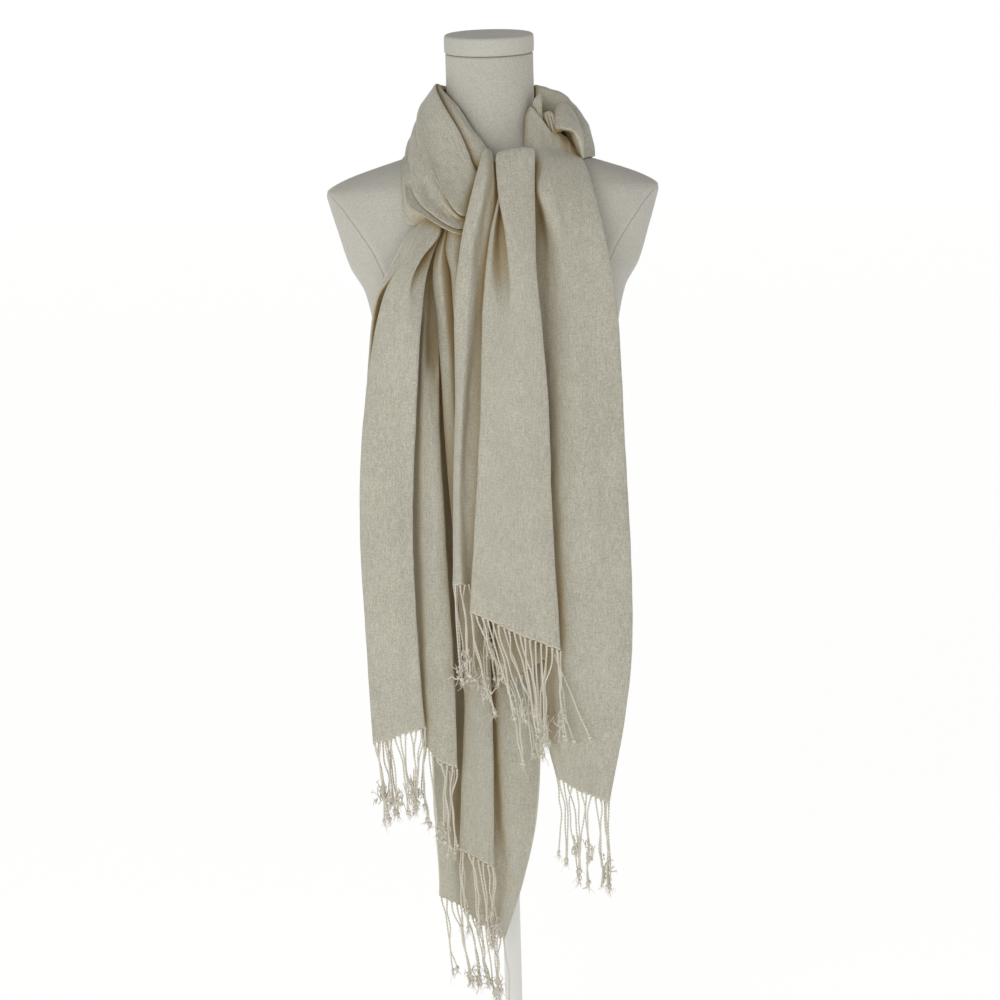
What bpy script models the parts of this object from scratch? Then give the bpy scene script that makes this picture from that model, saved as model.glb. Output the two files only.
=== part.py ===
"""A pashmina shawl wound round the neck of a limbless dress form on a round stand.

Units are metres and +Z is up. The tables give millimetres. X runs to the viewer's right, the
form faces -Y, and the origin is the middle of the stand base's underside, on the floor.
"""

import math
from collections import namedtuple

import bmesh
import bpy
from mathutils import Matrix, Vector

MM = 0.001

# ---- Driving dimensions ------------------------------------------------------------------------

CLOTH_WALL = 1.6 * MM           # thickness of the shawl's wall, two plies of soft twill
CLOTH_CLEARANCE = 3.0 * MM      # least distance from the cloth's middle to the form
SEAM_GAP = 0.3 * MM             # gap between the stand's pieces
HEM_GAP = 1.1 * MM              # gap between the middle of a hem and its fringe's strip

FRINGE_PITCH = 9.5 * MM         # from one strand's root to the next
FRINGE_LENGTH = 108.0 * MM      # hem to tip
FRINGE_UNEVEN = 0.05            # share by which strands differ in length
FRINGE_STRIP = 4.0 * MM         # height of the strip that carries the roots
STRAND_ROOT = 2.4 * MM          # strand width where it leaves the strip
STRAND_WAVE = 1.5 * MM          # sideways bow of a strand

NECK_TOP = 1431.0 * MM          # seam between the neck and its cap
NECK_LEAN_FROM = 1365.0 * MM    # where the neck's sections begin to tilt with the cap
CAP_GAP = 0.5 * MM
CAP_RADIUS = 54.5 * MM
CAP_HEIGHT = 22.0 * MM
CAP_TILT = math.radians(9.0)    # the neck's top leans forward
CAP_EDGE = 3.0 * MM
FORM_BOTTOM = 700.0 * MM
FORM_SIDES = 30                 # facets round the form

PLATE_RADIUS = 50.0 * MM
PLATE_HEIGHT = 12.0 * MM
POLE_RADIUS = 11.0 * MM
COLLAR_RADIUS = 21.0 * MM
COLLAR_LIP = 2.0 * MM           # what the collar's top stands out past the pole
COLLAR_HEIGHT = 40.0 * MM
BASE_RADIUS = 180.0 * MM
BASE_HEIGHT = 15.0 * MM
BASE_EDGE = 5.0 * MM

# Fineness of the cloth: steps along each fold from point to point, and across to the next fold.
LOOP_STEPS = (3, 2)
ROLL_STEPS = (3, 4)
TWIST_STEPS = (3, 3)
TAIL_STEPS = (2, 2)

# ---- Tables, in millimetres --------------------------------------------------------------------

# Horizontal sections of the form, from the hips up. front and back are its depths either side
# of the axis, and power is the exponent of its rounded outline: 2 is an ellipse.
Ring = namedtuple("Ring", "height half_width front back power")
FORM_RINGS = (
    Ring(700, 140, 60, 98, 2.2),
    Ring(760, 138, 66, 100, 2.2),
    Ring(840, 124, 69, 90, 2.2),
    Ring(920, 117, 69, 76, 2.2),
    Ring(1000, 132, 77, 80, 2.3),
    Ring(1080, 147, 88, 94, 2.5),
    Ring(1144, 160, 93, 106, 2.6),
    Ring(1175, 177, 92, 109, 2.6),
    Ring(1220, 191, 88, 108, 2.6),
    Ring(1252, 200, 83, 103, 2.5),
    Ring(1266, 202, 80, 99, 2.4),
    Ring(1274, 194, 78, 96, 2.3),
    Ring(1284, 174, 74, 92, 2.2),
    Ring(1295, 142, 70, 87, 2.1),
    Ring(1306, 107, 65, 82, 2.0),
    Ring(1316, 80, 62, 75, 2.0),
    Ring(1330, 62, 58, 66, 2.0),
    Ring(1350, 55, 55, 58, 2.0),
    Ring(1390, 53.5, 53.5, 54, 2.0),
    Ring(1431, 53.5, 53.5, 53.5, 2.0),
)

# A hanging stretch of cloth is a row of folds from its left edge to its right one. Each fold
# line starts at one or two points under the wrap, passes the panel's levels, and ends at the hem.
Panel = namedtuple("Panel", "levels folds")
Fold = namedtuple("Fold", "name start x y hem")

RIGHT_TAIL = Panel(
    levels=(1298, 1250, 1130, 950, 720, 620),
    folds=(
        Fold("edge turned to the neck", ((47, -40, 1364), (39, -59, 1338)),
             (32, 26, 22, 26, 38, 45), (-74, -98, -108, -112, -113, -112), (58, -112, 556)),
        Fold("flap edge", ((50, -46, 1368), (44, -65, 1334)),
             (41, 36, 32, 36, 45, 49), (-79, -104, -114, -118, -118, -117), (61, -118, 554)),
        Fold("hollow beside the centre", ((63, -50, 1347), (59, -64, 1322)),
             (56, 53, 50, 52, 55, 57), (-77, -98, -111, -116, -117, -117), (67, -116, 551)),
        Fold("left ridge", ((73, -52, 1336), (71, -66, 1316)),
             (68, 64, 66, 70, 68, 69), (-84, -110, -123, -127, -126, -125), (75, -124, 546)),
        Fold("broad front", ((83, -52, 1325), (84, -63, 1312)),
             (85, 83, 88, 94, 92, 87), (-80, -109, -126, -130, -128, -126), (87, -127, 540)),
        Fold("right front", ((96, -48, 1325), (98, -60, 1310)),
             (101, 104, 115, 122, 124, 114), (-76, -106, -123, -126, -126, -124),
             (104, -124, 531)),
        Fold("right edge", ((105, -47, 1316), (107, -57, 1305)),
             (109, 123, 143, 150, 154, 142), (-66, -99, -115, -120, -122, -120),
             (122, -121, 522)),
        Fold("edge turned under", ((99, -41, 1313), (102, -50, 1302)),
             (104, 116, 136, 143, 147, 136), (-58, -91, -105, -111, -113, -111),
             (116, -112, 525)),
    ),
)

CENTRE_FRONT = Panel(
    levels=(1270, 1215, 1150, 1020, 900),
    folds=(
        Fold("left edge turned back", ((8, -81, 1292), (6, -88, 1300)),
             (14, 7, 1, -10, -21), (-106, -120, -132, -142, -145), (-36, -145, 767)),
        Fold("left edge", ((12, -85, 1298), (4, -95, 1308)),
             (6, -4, -13, -21, -29), (-110, -128, -140, -150, -152), (-40, -151, 768)),
        Fold("pleat floor", ((16, -85, 1298), (8, -99, 1309)),
             (13, 8, 3, -4, -10), (-111, -129, -144, -154, -156), (-20, -156, 760)),
        Fold("pleat turn", ((20, -85, 1299), (12, -101, 1310)),
             (21, 22, 16, 6, 4), (-113, -131, -147, -156, -157), (-4, -157, 752)),
        Fold("strip edge", ((24, -86, 1299), (15, -102, 1311)),
             (9, 12, 12, 15, 17), (-119, -140, -154, -158, -158), (12, -158, 744)),
        Fold("strip middle", ((32, -86, 1300), (30, -103, 1315)),
             (29, 30, 31, 35, 35), (-121, -142, -156, -159, -159), (32, -159, 735)),
        Fold("right edge", ((39, -87, 1299), (51, -100, 1313)),
             (50, 48, 50, 58, 60), (-116, -135, -149, -153, -153), (66, -152, 719)),
        Fold("right edge turned under", ((44, -85, 1297), (50, -91, 1304)),
             (44, 41, 42, 50, 51), (-104, -122, -136, -140, -140), (58, -136, 714)),
    ),
)

CENTRE_SIDE = Panel(
    levels=(1297, 1270, 1205, 1130, 1020, 900),
    folds=(
        Fold("left edge turned under", ((-9, -93, 1303),),
             (-11, -17, -33, -42, -44, -50), (-101, -113, -127, -129, -130, -131),
             (-52, -131, 803)),
        Fold("left edge", ((-11, -97, 1311),),
             (-15, -23, -39, -49, -51, -57), (-107, -119, -135, -138, -139, -139),
             (-60, -139, 803)),
        Fold("ridge", ((-6, -99, 1315),),
             (-8, -13, -28, -37, -45, -51), (-114, -126, -141, -145, -145, -144),
             (-51, -144, 801)),
        Fold("shade line", ((-2, -98, 1314),),
             (-3, -5, -19, -25, -37, -43), (-111, -121, -136, -141, -142, -141),
             (-40, -141, 800)),
        Fold("under the front", ((0, -94, 1308),),
             (1, 3, -3, -8, -16, -22), (-98, -102, -115, -125, -134, -137),
             (-23, -137, 798)),
        Fold("hidden edge", ((1, -90, 1302),),
             (4, 12, 9, 7, 3, -1), (-92, -96, -108, -118, -129, -133), (-5, -133, 796)),
    ),
)

CENTRE_INNER = Panel(
    levels=(900, 780),
    folds=(
        Fold("left edge", ((-8, -122, 1050),), (-12, -13), (-124, -126), (-4, -127, 679)),
        Fold("first ridge", ((-2, -126.2, 1050),), (-4, -4), (-128, -130), (4, -133, 681)),
        Fold("first valley", ((5, -122, 1050),), (4, 4), (-124, -126), (11, -128, 684)),
        Fold("second ridge", ((12, -125, 1050),), (13, 13), (-129, -131), (18, -134, 688)),
        Fold("right edge", ((20, -122, 1050),), (23, 24), (-125, -127), (27, -128, 693)),
    ),
)

LEFT_FRONT = Panel(
    levels=(1190, 1140, 1070, 980, 850, 720),
    folds=(
        Fold("slit layer", ((-86, -86, 1228),),
             (-112, -137, -153, -158, -162, -159), (-103, -110, -113, -112, -108, -105),
             (-151, -96, 608)),
        Fold("slit depth", ((-80, -89, 1231),),
             (-104, -121, -137, -145, -148, -145), (-101, -104, -108, -110, -108, -106),
             (-140, -103, 613)),
        Fold("left edge", ((-78.2, -94.6, 1236.5),),
             (-117, -131, -148, -163, -169, -166), (-112, -121, -126, -128, -128, -126),
             (-162, -126, 605)),
        Fold("left ridge", ((-72, -95, 1236),),
             (-103, -115, -130, -144, -149, -146), (-121, -131, -136, -137, -137, -135),
             (-142, -135, 612)),
        Fold("turned edge", ((-67, -97, 1236),),
             (-87, -104, -116, -123, -127, -125), (-132, -139, -140, -139, -139, -139),
             (-121, -139, 620)),
        Fold("behind the turned edge", ((-62, -98, 1235),),
             (-92, -97, -104, -110, -113, -113), (-119, -131, -136, -136, -135, -135),
             (-112, -136, 622)),
        Fold("right edge", ((-57, -98, 1233),),
             (-76, -84, -93, -99, -103, -104), (-117, -132, -138, -139, -139, -139),
             (-100, -139, 626)),
        Fold("right edge turned under", ((-54, -95, 1230),),
             (-80, -91, -99, -105, -109, -110), (-109, -122, -128, -129, -129, -129),
             (-100, -125, 625)),
    ),
)

LEFT_SECOND = Panel(
    levels=(1165, 1125, 1070, 980, 850, 720),
    folds=(
        Fold("hidden edge", ((-77, -94, 1190),),
             (-86, -93, -98, -104, -108, -108), (-97, -107, -113, -114, -114, -114),
             (-104, -113, 603)),
        Fold("left ridge", ((-73, -96, 1190),),
             (-82, -84, -88, -94, -97, -97), (-103, -118, -124, -124, -124, -124),
             (-99, -122, 600)),
        Fold("pocket", ((-69, -94, 1190),),
             (-76, -78, -81, -86, -88, -87), (-98, -105, -113, -122, -125, -125),
             (-88, -126, 587)),
        Fold("front", ((-66, -95, 1190),),
             (-72, -74, -75, -79, -79, -76), (-97, -103, -113, -125, -127, -127),
             (-76, -127, 578)),
        Fold("right edge", ((-62, -95, 1190),),
             (-68, -67.7, -69.5, -72, -70, -64), (-97, -103.7, -113, -121, -123, -123),
             (-62, -123, 571)),
        Fold("right edge turned under", ((-60, -92, 1190),),
             (-71, -74, -75, -76, -75, -70), (-94, -97, -104, -111, -112, -112),
             (-73, -112, 567)),
    ),
)

LEFT_THIRD = Panel(
    levels=(1170, 1120, 1050, 950, 800, 650),
    folds=(
        Fold("hidden edge", ((-50, -95, 1221),),
             (-61, -58, -56, -62, -72, -76), (-101, -101, -96, -92, -91, -90),
             (-70, -92, 462)),
        Fold("left edge", ((-53, -98, 1221),),
             (-74, -71, -64, -59, -54, -54), (-109, -112, -112, -110, -106, -104),
             (-58, -101, 457)),
        Fold("left face", ((-49, -102.5, 1224),),
             (-64, -61, -56, -52, -47, -46), (-113, -116, -116, -114, -110, -108),
             (-48, -105, 455)),
        Fold("crease", ((-45, -99.5, 1227),),
             (-53, -49, -46, -44, -41, -42), (-107, -110, -112, -112, -108, -104),
             (-40, -101, 452)),
        Fold("right ridge", ((-44, -104, 1232),),
             (-47, -44, -38, -36, -34, -33), (-118, -120, -119, -116, -111, -108),
             (-32, -106, 447)),
        Fold("right edge", ((-36, -107, 1237),),
             (-37, -34, -29, -26, -23, -20), (-115, -117, -115, -113, -109, -104),
             (-20, -102, 438)),
        Fold("right edge turned back", ((-34, -102, 1232),),
             (-32, -28, -24, -21, -21, -24), (-106, -108, -106, -103, -98, -92),
             (-24, -91, 440)),
    ),
)

LEFT_REAR = Panel(
    levels=(1050, 850, 650, 500, 420),
    folds=(
        Fold("left edge", ((-46, -99, 1160),),
             (-46, -74, -92, -92, -89), (-90, -84, -79, -75, -73), (-90, -72, 395)),
        Fold("left ridge", ((-40, -102, 1160),),
             (-40, -60, -71, -71, -69), (-94, -91, -87, -83, -81), (-68, -79, 388)),
        Fold("middle valley", ((-31, -105.2, 1160),),
             (-30, -42, -46, -46, -44), (-90, -84, -78, -74, -72), (-50, -72, 371)),
        Fold("middle ridge", ((-18, -102, 1160),),
             (-18, -20, -20, -16, -18), (-94, -91, -86, -81, -78), (-35, -75, 353)),
        Fold("right valley", ((-6, -99, 1160),),
             (-4, 0, 3, 3, -3), (-90, -85, -78, -74, -71), (-24, -71, 346)),
        Fold("right ridge", ((8, -102, 1160),),
             (12, 20, 26, 22, 12), (-93, -90, -85, -78, -74), (-17, -73, 341)),
        Fold("selvedge", ((22, -99, 1160),),
             (28, 40, 48, 36, 24), (-89, -84, -77, -71, -69), (-10, -69, 338)),
    ),
)

# The neck loop's folds, from the edge against the neck to the outer one. Three columns are its
# distance out from the neck's axis and its height: at the right side, the nape and the left
# side. The others are points: the right end, the left shoulder, the breast, the bend over the
# left tail, the knot, and the stretch tucked in under the centre tails, to its end.
LoopFold = namedtuple("LoopFold",
                      "name right_end right nape left shoulder breast bend knot tuck end")
LOOP_BULGE = 2.5                # extra reach half way between those three bearings
NECK_LOOP = (
    LoopFold("edge at the neck", (50, -26, 1362), (57, 1384), (62, 1388), (57, 1386),
             (-40, -44, 1364), (-22, -66, 1336), (-13, -73, 1324), (-4, -80, 1310),
             (8, -75, 1292), (32, -73, 1288)),
    LoopFold("first ridge", (55, -30, 1368), (63, 1391), (69, 1394), (64, 1395),
             (-47, -46, 1371), (-29, -71, 1341), (-21, -80, 1323), (-11, -87, 1302),
             (4, -79, 1284), (32, -76, 1281)),
    LoopFold("first valley", (61, -26, 1354), (72, 1380), (77, 1380), (68, 1384),
             (-53, -40, 1360), (-38, -66, 1330), (-29, -79, 1309), (-18, -90, 1287),
             (-2, -82, 1272), (32, -79, 1271)),
    LoopFold("second ridge", (75, -30, 1340), (92, 1376), (93, 1364), (82, 1368),
             (-70, -49, 1340), (-53, -82, 1306), (-41, -96, 1285), (-28, -106, 1262),
             (-6, -92, 1256), (32, -87, 1258)),
    LoopFold("second valley", (88, -32, 1326), (106, 1354), (95, 1338), (92, 1337),
             (-82, -46, 1310), (-66, -76, 1281), (-51, -94, 1259), (-34, -109, 1237),
             (-9, -97, 1239), (30, -91, 1244)),
    LoopFold("third ridge", (104, -44, 1314), (117, 1346), (108, 1322), (99, 1324),
             (-94, -50, 1298), (-80, -87, 1265), (-60, -107, 1251), (-35, -117, 1232),
             (-10, -103, 1233), (28, -95, 1238)),
    LoopFold("third valley", (109, -48, 1300), (119, 1325), (108, 1300), (103, 1315),
             (-100, -44, 1288), (-88, -82, 1256), (-69, -104, 1242), (-36, -115, 1227),
             (-10, -101, 1227), (27, -93, 1231)),
    LoopFold("outer ridge", (118, -62, 1286), (127, 1313), (119, 1284), (108, 1313),
             (-108, -46, 1285), (-104, -76, 1248), (-75, -113, 1239), (-36, -125.7, 1222),
             (-10, -106, 1220), (26, -97, 1224)),
    LoopFold("outer edge", (117, -64, 1276), (129, 1303), (114, 1267), (112, 1311),
             (-110, -38, 1276), (-97, -88, 1229), (-73, -109, 1231), (-36, -119, 1215),
             (-10, -102, 1213), (26, -94, 1217)),
)

# The bight's roll on the right shoulder, by its folds from its inner lip to its outer one, and
# the twisted bit of edge between it and the flap. Each fold's points run from the nape down.
RollFold = namedtuple("RollFold", "name nape back top shoulder front end")
RIGHT_ROLL = (
    RollFold("inner lip", (85.5, -13.5, 1365.5), (84, -32, 1351), (86, -43, 1344),
             (94, -50, 1342), (105, -58, 1330), (108, -69, 1308)),
    RollFold("mouth", (81, -19.7, 1369), (76, -42, 1353), (79, -54, 1338),
             (94, -62, 1336), (102, -66, 1328), (107, -74, 1305)),
    RollFold("crest", (89, -24, 1374), (87, -54, 1359), (91, -66, 1348),
             (101, -70, 1340), (109, -74, 1325), (110, -78, 1305)),
    RollFold("outer lip", (97, -14, 1369), (103, -38, 1357), (107, -50, 1346),
             (112, -58, 1335), (115, -66, 1321), (112, -74, 1303)),
)
TwistFold = namedtuple("TwistFold", "name nape middle end")
RIGHT_TWIST = (
    TwistFold("left edge", (60, -37, 1372), (61, -40, 1354), (71, -42, 1334)),
    TwistFold("ridge", (65, -40, 1366), (67, -45, 1350), (74, -44, 1333)),
    TwistFold("valley", (68, -37, 1360), (71, -41, 1347), (76, -41, 1332)),
    TwistFold("right edge", (72, -40, 1357), (75.8, -44.3, 1345.3), (79, -43, 1331)),
)

# Each hem's fringe: how far its tips drift to the right, and how much neighbours close in.
Fringe = namedtuple("Fringe", "name drift pairing")

# A strand's thickness on its way down, both as shares: it thins, and ends in a knot and a tip.
StrandRing = namedtuple("StrandRing", "way width")
STRAND_RINGS = (
    StrandRing(0.12, 0.85),
    StrandRing(0.4, 0.75),
    StrandRing(0.7, 0.75),
    StrandRing(0.9, 0.8),
    StrandRing(0.94, 1.67),
    StrandRing(1.0, 0.4),
)

# Colours, roughness and metallic value of the materials.
Finish = namedtuple("Finish", "name colour roughness metallic")
CLOTH = Finish("cream_twill", (0.52, 0.48, 0.38, 1.0), 0.85, 0.0)
FRINGE_YARN = Finish("cream_yarn", (0.55, 0.51, 0.42, 1.0), 0.9, 0.0)
LINEN = Finish("form_linen", (0.48, 0.47, 0.43, 1.0), 0.8, 0.0)
STAND_PAINT = Finish("stand_paint", (0.72, 0.71, 0.68, 1.0), 0.45, 0.0)


# ---- Curves and surfaces -----------------------------------------------------------------------

def spline(points, steps):
    """A centripetal Catmull-Rom curve through the points, with this many steps in each span."""
    ends = [points[0] * 2.0 - points[1], *points, points[-1] * 2.0 - points[-2]]
    curve = []
    for before, start, end, after in zip(ends, ends[1:], ends[2:], ends[3:]):
        first = max((start - before).length ** 0.5, 1e-6)
        middle = max((end - start).length ** 0.5, 1e-6)
        last = max((after - end).length ** 0.5, 1e-6)
        leave = ((start - before) / first - (end - before) / (first + middle)
                 + (end - start) / middle) * middle
        arrive = ((end - start) / middle - (after - start) / (middle + last)
                  + (after - end) / last) * middle
        for step in range(steps):
            t = step / steps
            curve.append(start * (2 * t ** 3 - 3 * t ** 2 + 1) + leave * (t ** 3 - 2 * t ** 2 + t)
                         + end * (3 * t ** 2 - 2 * t ** 3) + arrive * (t ** 3 - t ** 2))
    curve.append(points[-1].copy())
    return curve


def form_section(height):
    """Half width, front, back and power of the form's outline at a height, in metres."""
    rings = FORM_RINGS
    level = min(max(height / MM, rings[0].height), rings[-1].height)
    index = max(i for i, ring in enumerate(rings[:-1]) if ring.height <= level)
    low, high = rings[index], rings[index + 1]
    below, above = rings[max(index - 1, 0)], rings[min(index + 2, len(rings) - 1)]
    span = high.height - low.height
    t = (level - low.height) / span
    values = []
    for name in ("half_width", "front", "back", "power"):
        start, end = getattr(low, name), getattr(high, name)
        leave = (end - getattr(below, name)) / max(high.height - below.height, 1) * span
        arrive = (getattr(above, name) - start) / max(above.height - low.height, 1) * span
        values.append(start * (2 * t ** 3 - 3 * t ** 2 + 1) + leave * (t ** 3 - 2 * t ** 2 + t)
                      + end * (3 * t ** 2 - 2 * t ** 3) + arrive * (t ** 3 - t ** 2))
    half_width, front, back, power = values
    return half_width * MM, front * MM, back * MM, power


def form_depth(point):
    """How far a point lies outside the form's surface, roughly in metres."""
    half_width, front, back, power = form_section(point.z)
    reach = front if point.y < 0.0 else back
    size = (abs(point.x / half_width) ** power + abs(point.y / reach) ** power) ** (1.0 / power)
    return (size - 1.0) * min(half_width, reach)


def rest_on_form(point, clearance):
    """The point, moved straight out of the form until it is clear of it."""
    probe = 1.0 * MM
    least_slope = 0.2
    tries = 4
    for _ in range(tries):
        depth = form_depth(point)
        if depth >= clearance or not FORM_BOTTOM < point.z < NECK_TOP:
            break
        slope = Vector([(form_depth(point + axis * probe) - depth) / probe
                        for axis in (Vector((1, 0, 0)), Vector((0, 1, 0)), Vector((0, 0, 1)))])
        point = point + slope * ((clearance - depth) / max(slope.length_squared, least_slope))
    return point


def drape(fold_lines, steps):
    """A grid of points through fold lines, with these steps along each fold and across to the next."""
    along, across = steps
    lines = [spline([Vector(point) * MM for point in line], along) for line in fold_lines]
    rows = [spline(list(section), across) for section in zip(*lines)]
    return [[rest_on_form(point, CLOTH_CLEARANCE) for point in row] for row in rows]


def panel_lines(panel):
    """The points that each fold of a hanging panel passes."""
    return [[*fold.start, *zip(fold.x, fold.y, panel.levels), fold.hem] for fold in panel.folds]


def around(side, height, degrees):
    """A point of the neck loop at a distance out from the axis, by its bearing."""
    angle = math.radians(degrees)
    return (side * math.cos(angle), side * math.sin(angle), height)


def loop_lines():
    """The points that each fold of the neck loop passes, from its right end round the nape."""
    lines = []
    for fold in NECK_LOOP:
        (right, right_up), (nape, nape_up), (left, left_up) = fold.right, fold.nape, fold.left
        lines.append([
            fold.right_end,
            around(right, right_up, 2),
            around((right + nape) / 2 + LOOP_BULGE, (right_up + nape_up) / 2, 45),
            around(nape, nape_up, 90),
            around((left + nape) / 2 + LOOP_BULGE, (left_up + nape_up) / 2, 135),
            around(left, left_up, 178),
            fold.shoulder, fold.breast, fold.bend, fold.knot, fold.tuck, fold.end,
        ])
    return lines


# ---- Objects -----------------------------------------------------------------------------------

def material(finish):
    """The Principled material of a finish, made once."""
    found = bpy.data.materials.get(finish.name)
    if found:
        return found
    made = bpy.data.materials.new(finish.name)
    made.use_nodes = True
    shader = made.node_tree.nodes["Principled BSDF"]
    shader.inputs["Base Color"].default_value = finish.colour
    shader.inputs["Roughness"].default_value = finish.roughness
    shader.inputs["Metallic"].default_value = finish.metallic
    return made


def add_object(name, mesh, finish, collection):
    """An object of this mesh in the part's collection, shaded smooth."""
    item = bpy.data.objects.new(name, mesh)
    mesh.materials.append(material(finish))
    mesh.shade_smooth()
    mesh.set_sharp_from_angle(angle=math.radians(50))
    collection.objects.link(item)
    return item


def add_cloth(name, grid, collection):
    """A cloth wall over a grid of points."""
    width = len(grid[0])
    points = [point for row in grid for point in row]
    faces = [(row * width + i, (row + 1) * width + i, (row + 1) * width + i + 1,
              row * width + i + 1)
             for row in range(len(grid) - 1) for i in range(width - 1)]
    mesh = bpy.data.meshes.new(name)
    mesh.from_pydata(points, [], faces)
    item = add_object(name, mesh, CLOTH, collection)
    wall = item.modifiers.new("wall", "SOLIDIFY")
    wall.thickness = CLOTH_WALL
    wall.offset = 0.0
    return item


def across_hem(curve, index):
    """The level unit direction across the cloth at a point of its hem."""
    along = curve[min(index + 1, len(curve) - 1)] - curve[max(index - 1, 0)]
    return Vector((along.y, -along.x, 0.0)).normalized()


def hem_stations(curve):
    """Places along a hem where the fringe strip has a section, and which begin a strand."""
    lengths = [0.0]
    for start, end in zip(curve, curve[1:]):
        lengths.append(lengths[-1] + (end - start).length)
    count = max(int(lengths[-1] / FRINGE_PITCH), 2)
    pitch = lengths[-1] / count
    stations = []
    for strand in range(count):
        for side in (-0.5, 0.5):
            place = (strand + 0.5) * pitch + side * STRAND_ROOT
            index = max(i for i, length in enumerate(lengths[:-1]) if length <= place)
            t = (place - lengths[index]) / max(lengths[index + 1] - lengths[index], 1e-9)
            stations.append((curve[index].lerp(curve[index + 1], t), index, side < 0))
    return stations


def strand_rings(corners, number, fringe):
    """The four-sided rings of one strand below its root, with a knot near the tip."""
    centre = sum(corners, Vector()) / 4
    to_partner = 1 if number % 2 == 0 else -1
    lean = (fringe.drift + to_partner * fringe.pairing) * MM
    bow = STRAND_WAVE * math.sin(number * 0.6)
    length = FRINGE_LENGTH * (1.0 + FRINGE_UNEVEN * math.sin(number * 2.6))
    rings = []
    for ring in STRAND_RINGS:
        sideways = lean * ring.way ** 1.3 + bow * math.sin(math.pi * ring.way)
        shift = Vector((sideways, 0.0, -length * ring.way))
        rings.append([centre + (corner - centre) * ring.width + shift for corner in corners])
    return rings


def add_fringe(fringe, hem, collection):
    """One hem's fringe: a narrow strip just under the hem, with strands drawn out of it."""
    mesh_builder = bmesh.new()
    sections = []
    for place, index, begins in hem_stations(hem):
        offset = across_hem(hem, index) * CLOTH_WALL / 2
        top = place - Vector((0.0, 0.0, HEM_GAP))
        bottom = top - Vector((0.0, 0.0, FRINGE_STRIP))
        corners = (top + offset, top - offset, bottom - offset, bottom + offset)
        sections.append(([mesh_builder.verts.new(corner) for corner in corners], begins))
    mesh_builder.faces.new(sections[0][0])
    mesh_builder.faces.new(reversed(sections[-1][0]))
    number = 0
    for (left, is_root), (right, _) in zip(sections, sections[1:]):
        for i in range(4):
            j = (i + 1) % 4
            if is_root and i == 2:
                continue
            mesh_builder.faces.new((left[i], right[i], right[j], left[j]))
        if is_root:
            ring = [left[2], left[3], right[3], right[2]]
            for corners in strand_rings([vert.co.copy() for vert in ring], number, fringe):
                lower = [mesh_builder.verts.new(corner) for corner in corners]
                for i in range(4):
                    j = (i + 1) % 4
                    mesh_builder.faces.new((ring[i], ring[j], lower[j], lower[i]))
                ring = lower
            mesh_builder.faces.new(ring)
            number += 1
    bmesh.ops.recalc_face_normals(mesh_builder, faces=mesh_builder.faces)
    mesh = bpy.data.meshes.new(fringe.name)
    mesh_builder.to_mesh(mesh)
    mesh_builder.free()
    return add_object(fringe.name, mesh, FRINGE_YARN, collection)


def add_torso(collection):
    """The form's torso, shoulders and neck, lofted through its sections."""
    widest_step = 60.0
    heights = []
    for low, high in zip(FORM_RINGS, FORM_RINGS[1:]):
        heights.append(low.height * MM)
        if high.height - low.height >= widest_step:
            heights.append((low.height + high.height) / 2 * MM)
    heights.append(FORM_RINGS[-1].height * MM)
    mesh_builder = bmesh.new()
    rings = []
    for height in heights:
        half_width, front, back, power = form_section(height)
        tilted = max(height - NECK_LEAN_FROM, 0.0) / (NECK_TOP - NECK_LEAN_FROM)
        lean = tilted * math.tan(CAP_TILT)
        ring = []
        for side in range(FORM_SIDES):
            angle = 2 * math.pi * side / FORM_SIDES
            across, along = math.cos(angle), math.sin(angle)
            x = half_width * math.copysign(abs(across) ** (2 / power), across)
            y = math.copysign(abs(along) ** (2 / power), along) * (back if along > 0 else front)
            ring.append(mesh_builder.verts.new((x, y, height + lean * y)))
        rings.append(ring)
    for low, high in zip(rings, rings[1:]):
        for i in range(FORM_SIDES):
            j = (i + 1) % FORM_SIDES
            mesh_builder.faces.new((low[i], low[j], high[j], high[i]))
    mesh_builder.faces.new(reversed(rings[0]))
    mesh_builder.faces.new(rings[-1])
    mesh = bpy.data.meshes.new("form_torso")
    mesh_builder.to_mesh(mesh)
    mesh_builder.free()
    return add_object("form_torso", mesh, LINEN, collection)


def add_disc(name, radii, height, edge, finish, collection, sides=40):
    """A round solid with its underside at its origin, its lower and upper radius given."""
    mesh_builder = bmesh.new()
    bmesh.ops.create_cone(mesh_builder, cap_ends=True, segments=sides, radius1=radii[0],
                          radius2=radii[1], depth=height,
                          matrix=Matrix.Translation((0.0, 0.0, height / 2)))
    mesh = bpy.data.meshes.new(name)
    mesh_builder.to_mesh(mesh)
    mesh_builder.free()
    item = add_object(name, mesh, finish, collection)
    if edge:
        rounding = item.modifiers.new("edge", "BEVEL")
        rounding.width = edge
        rounding.segments = 2
        rounding.limit_method = "ANGLE"
    return item


# ---- The part ----------------------------------------------------------------------------------

for existing in list(bpy.data.objects):
    bpy.data.objects.remove(existing)

part = bpy.data.collections.new("pashmina_shawl_on_form")
bpy.context.scene.collection.children.link(part)

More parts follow.
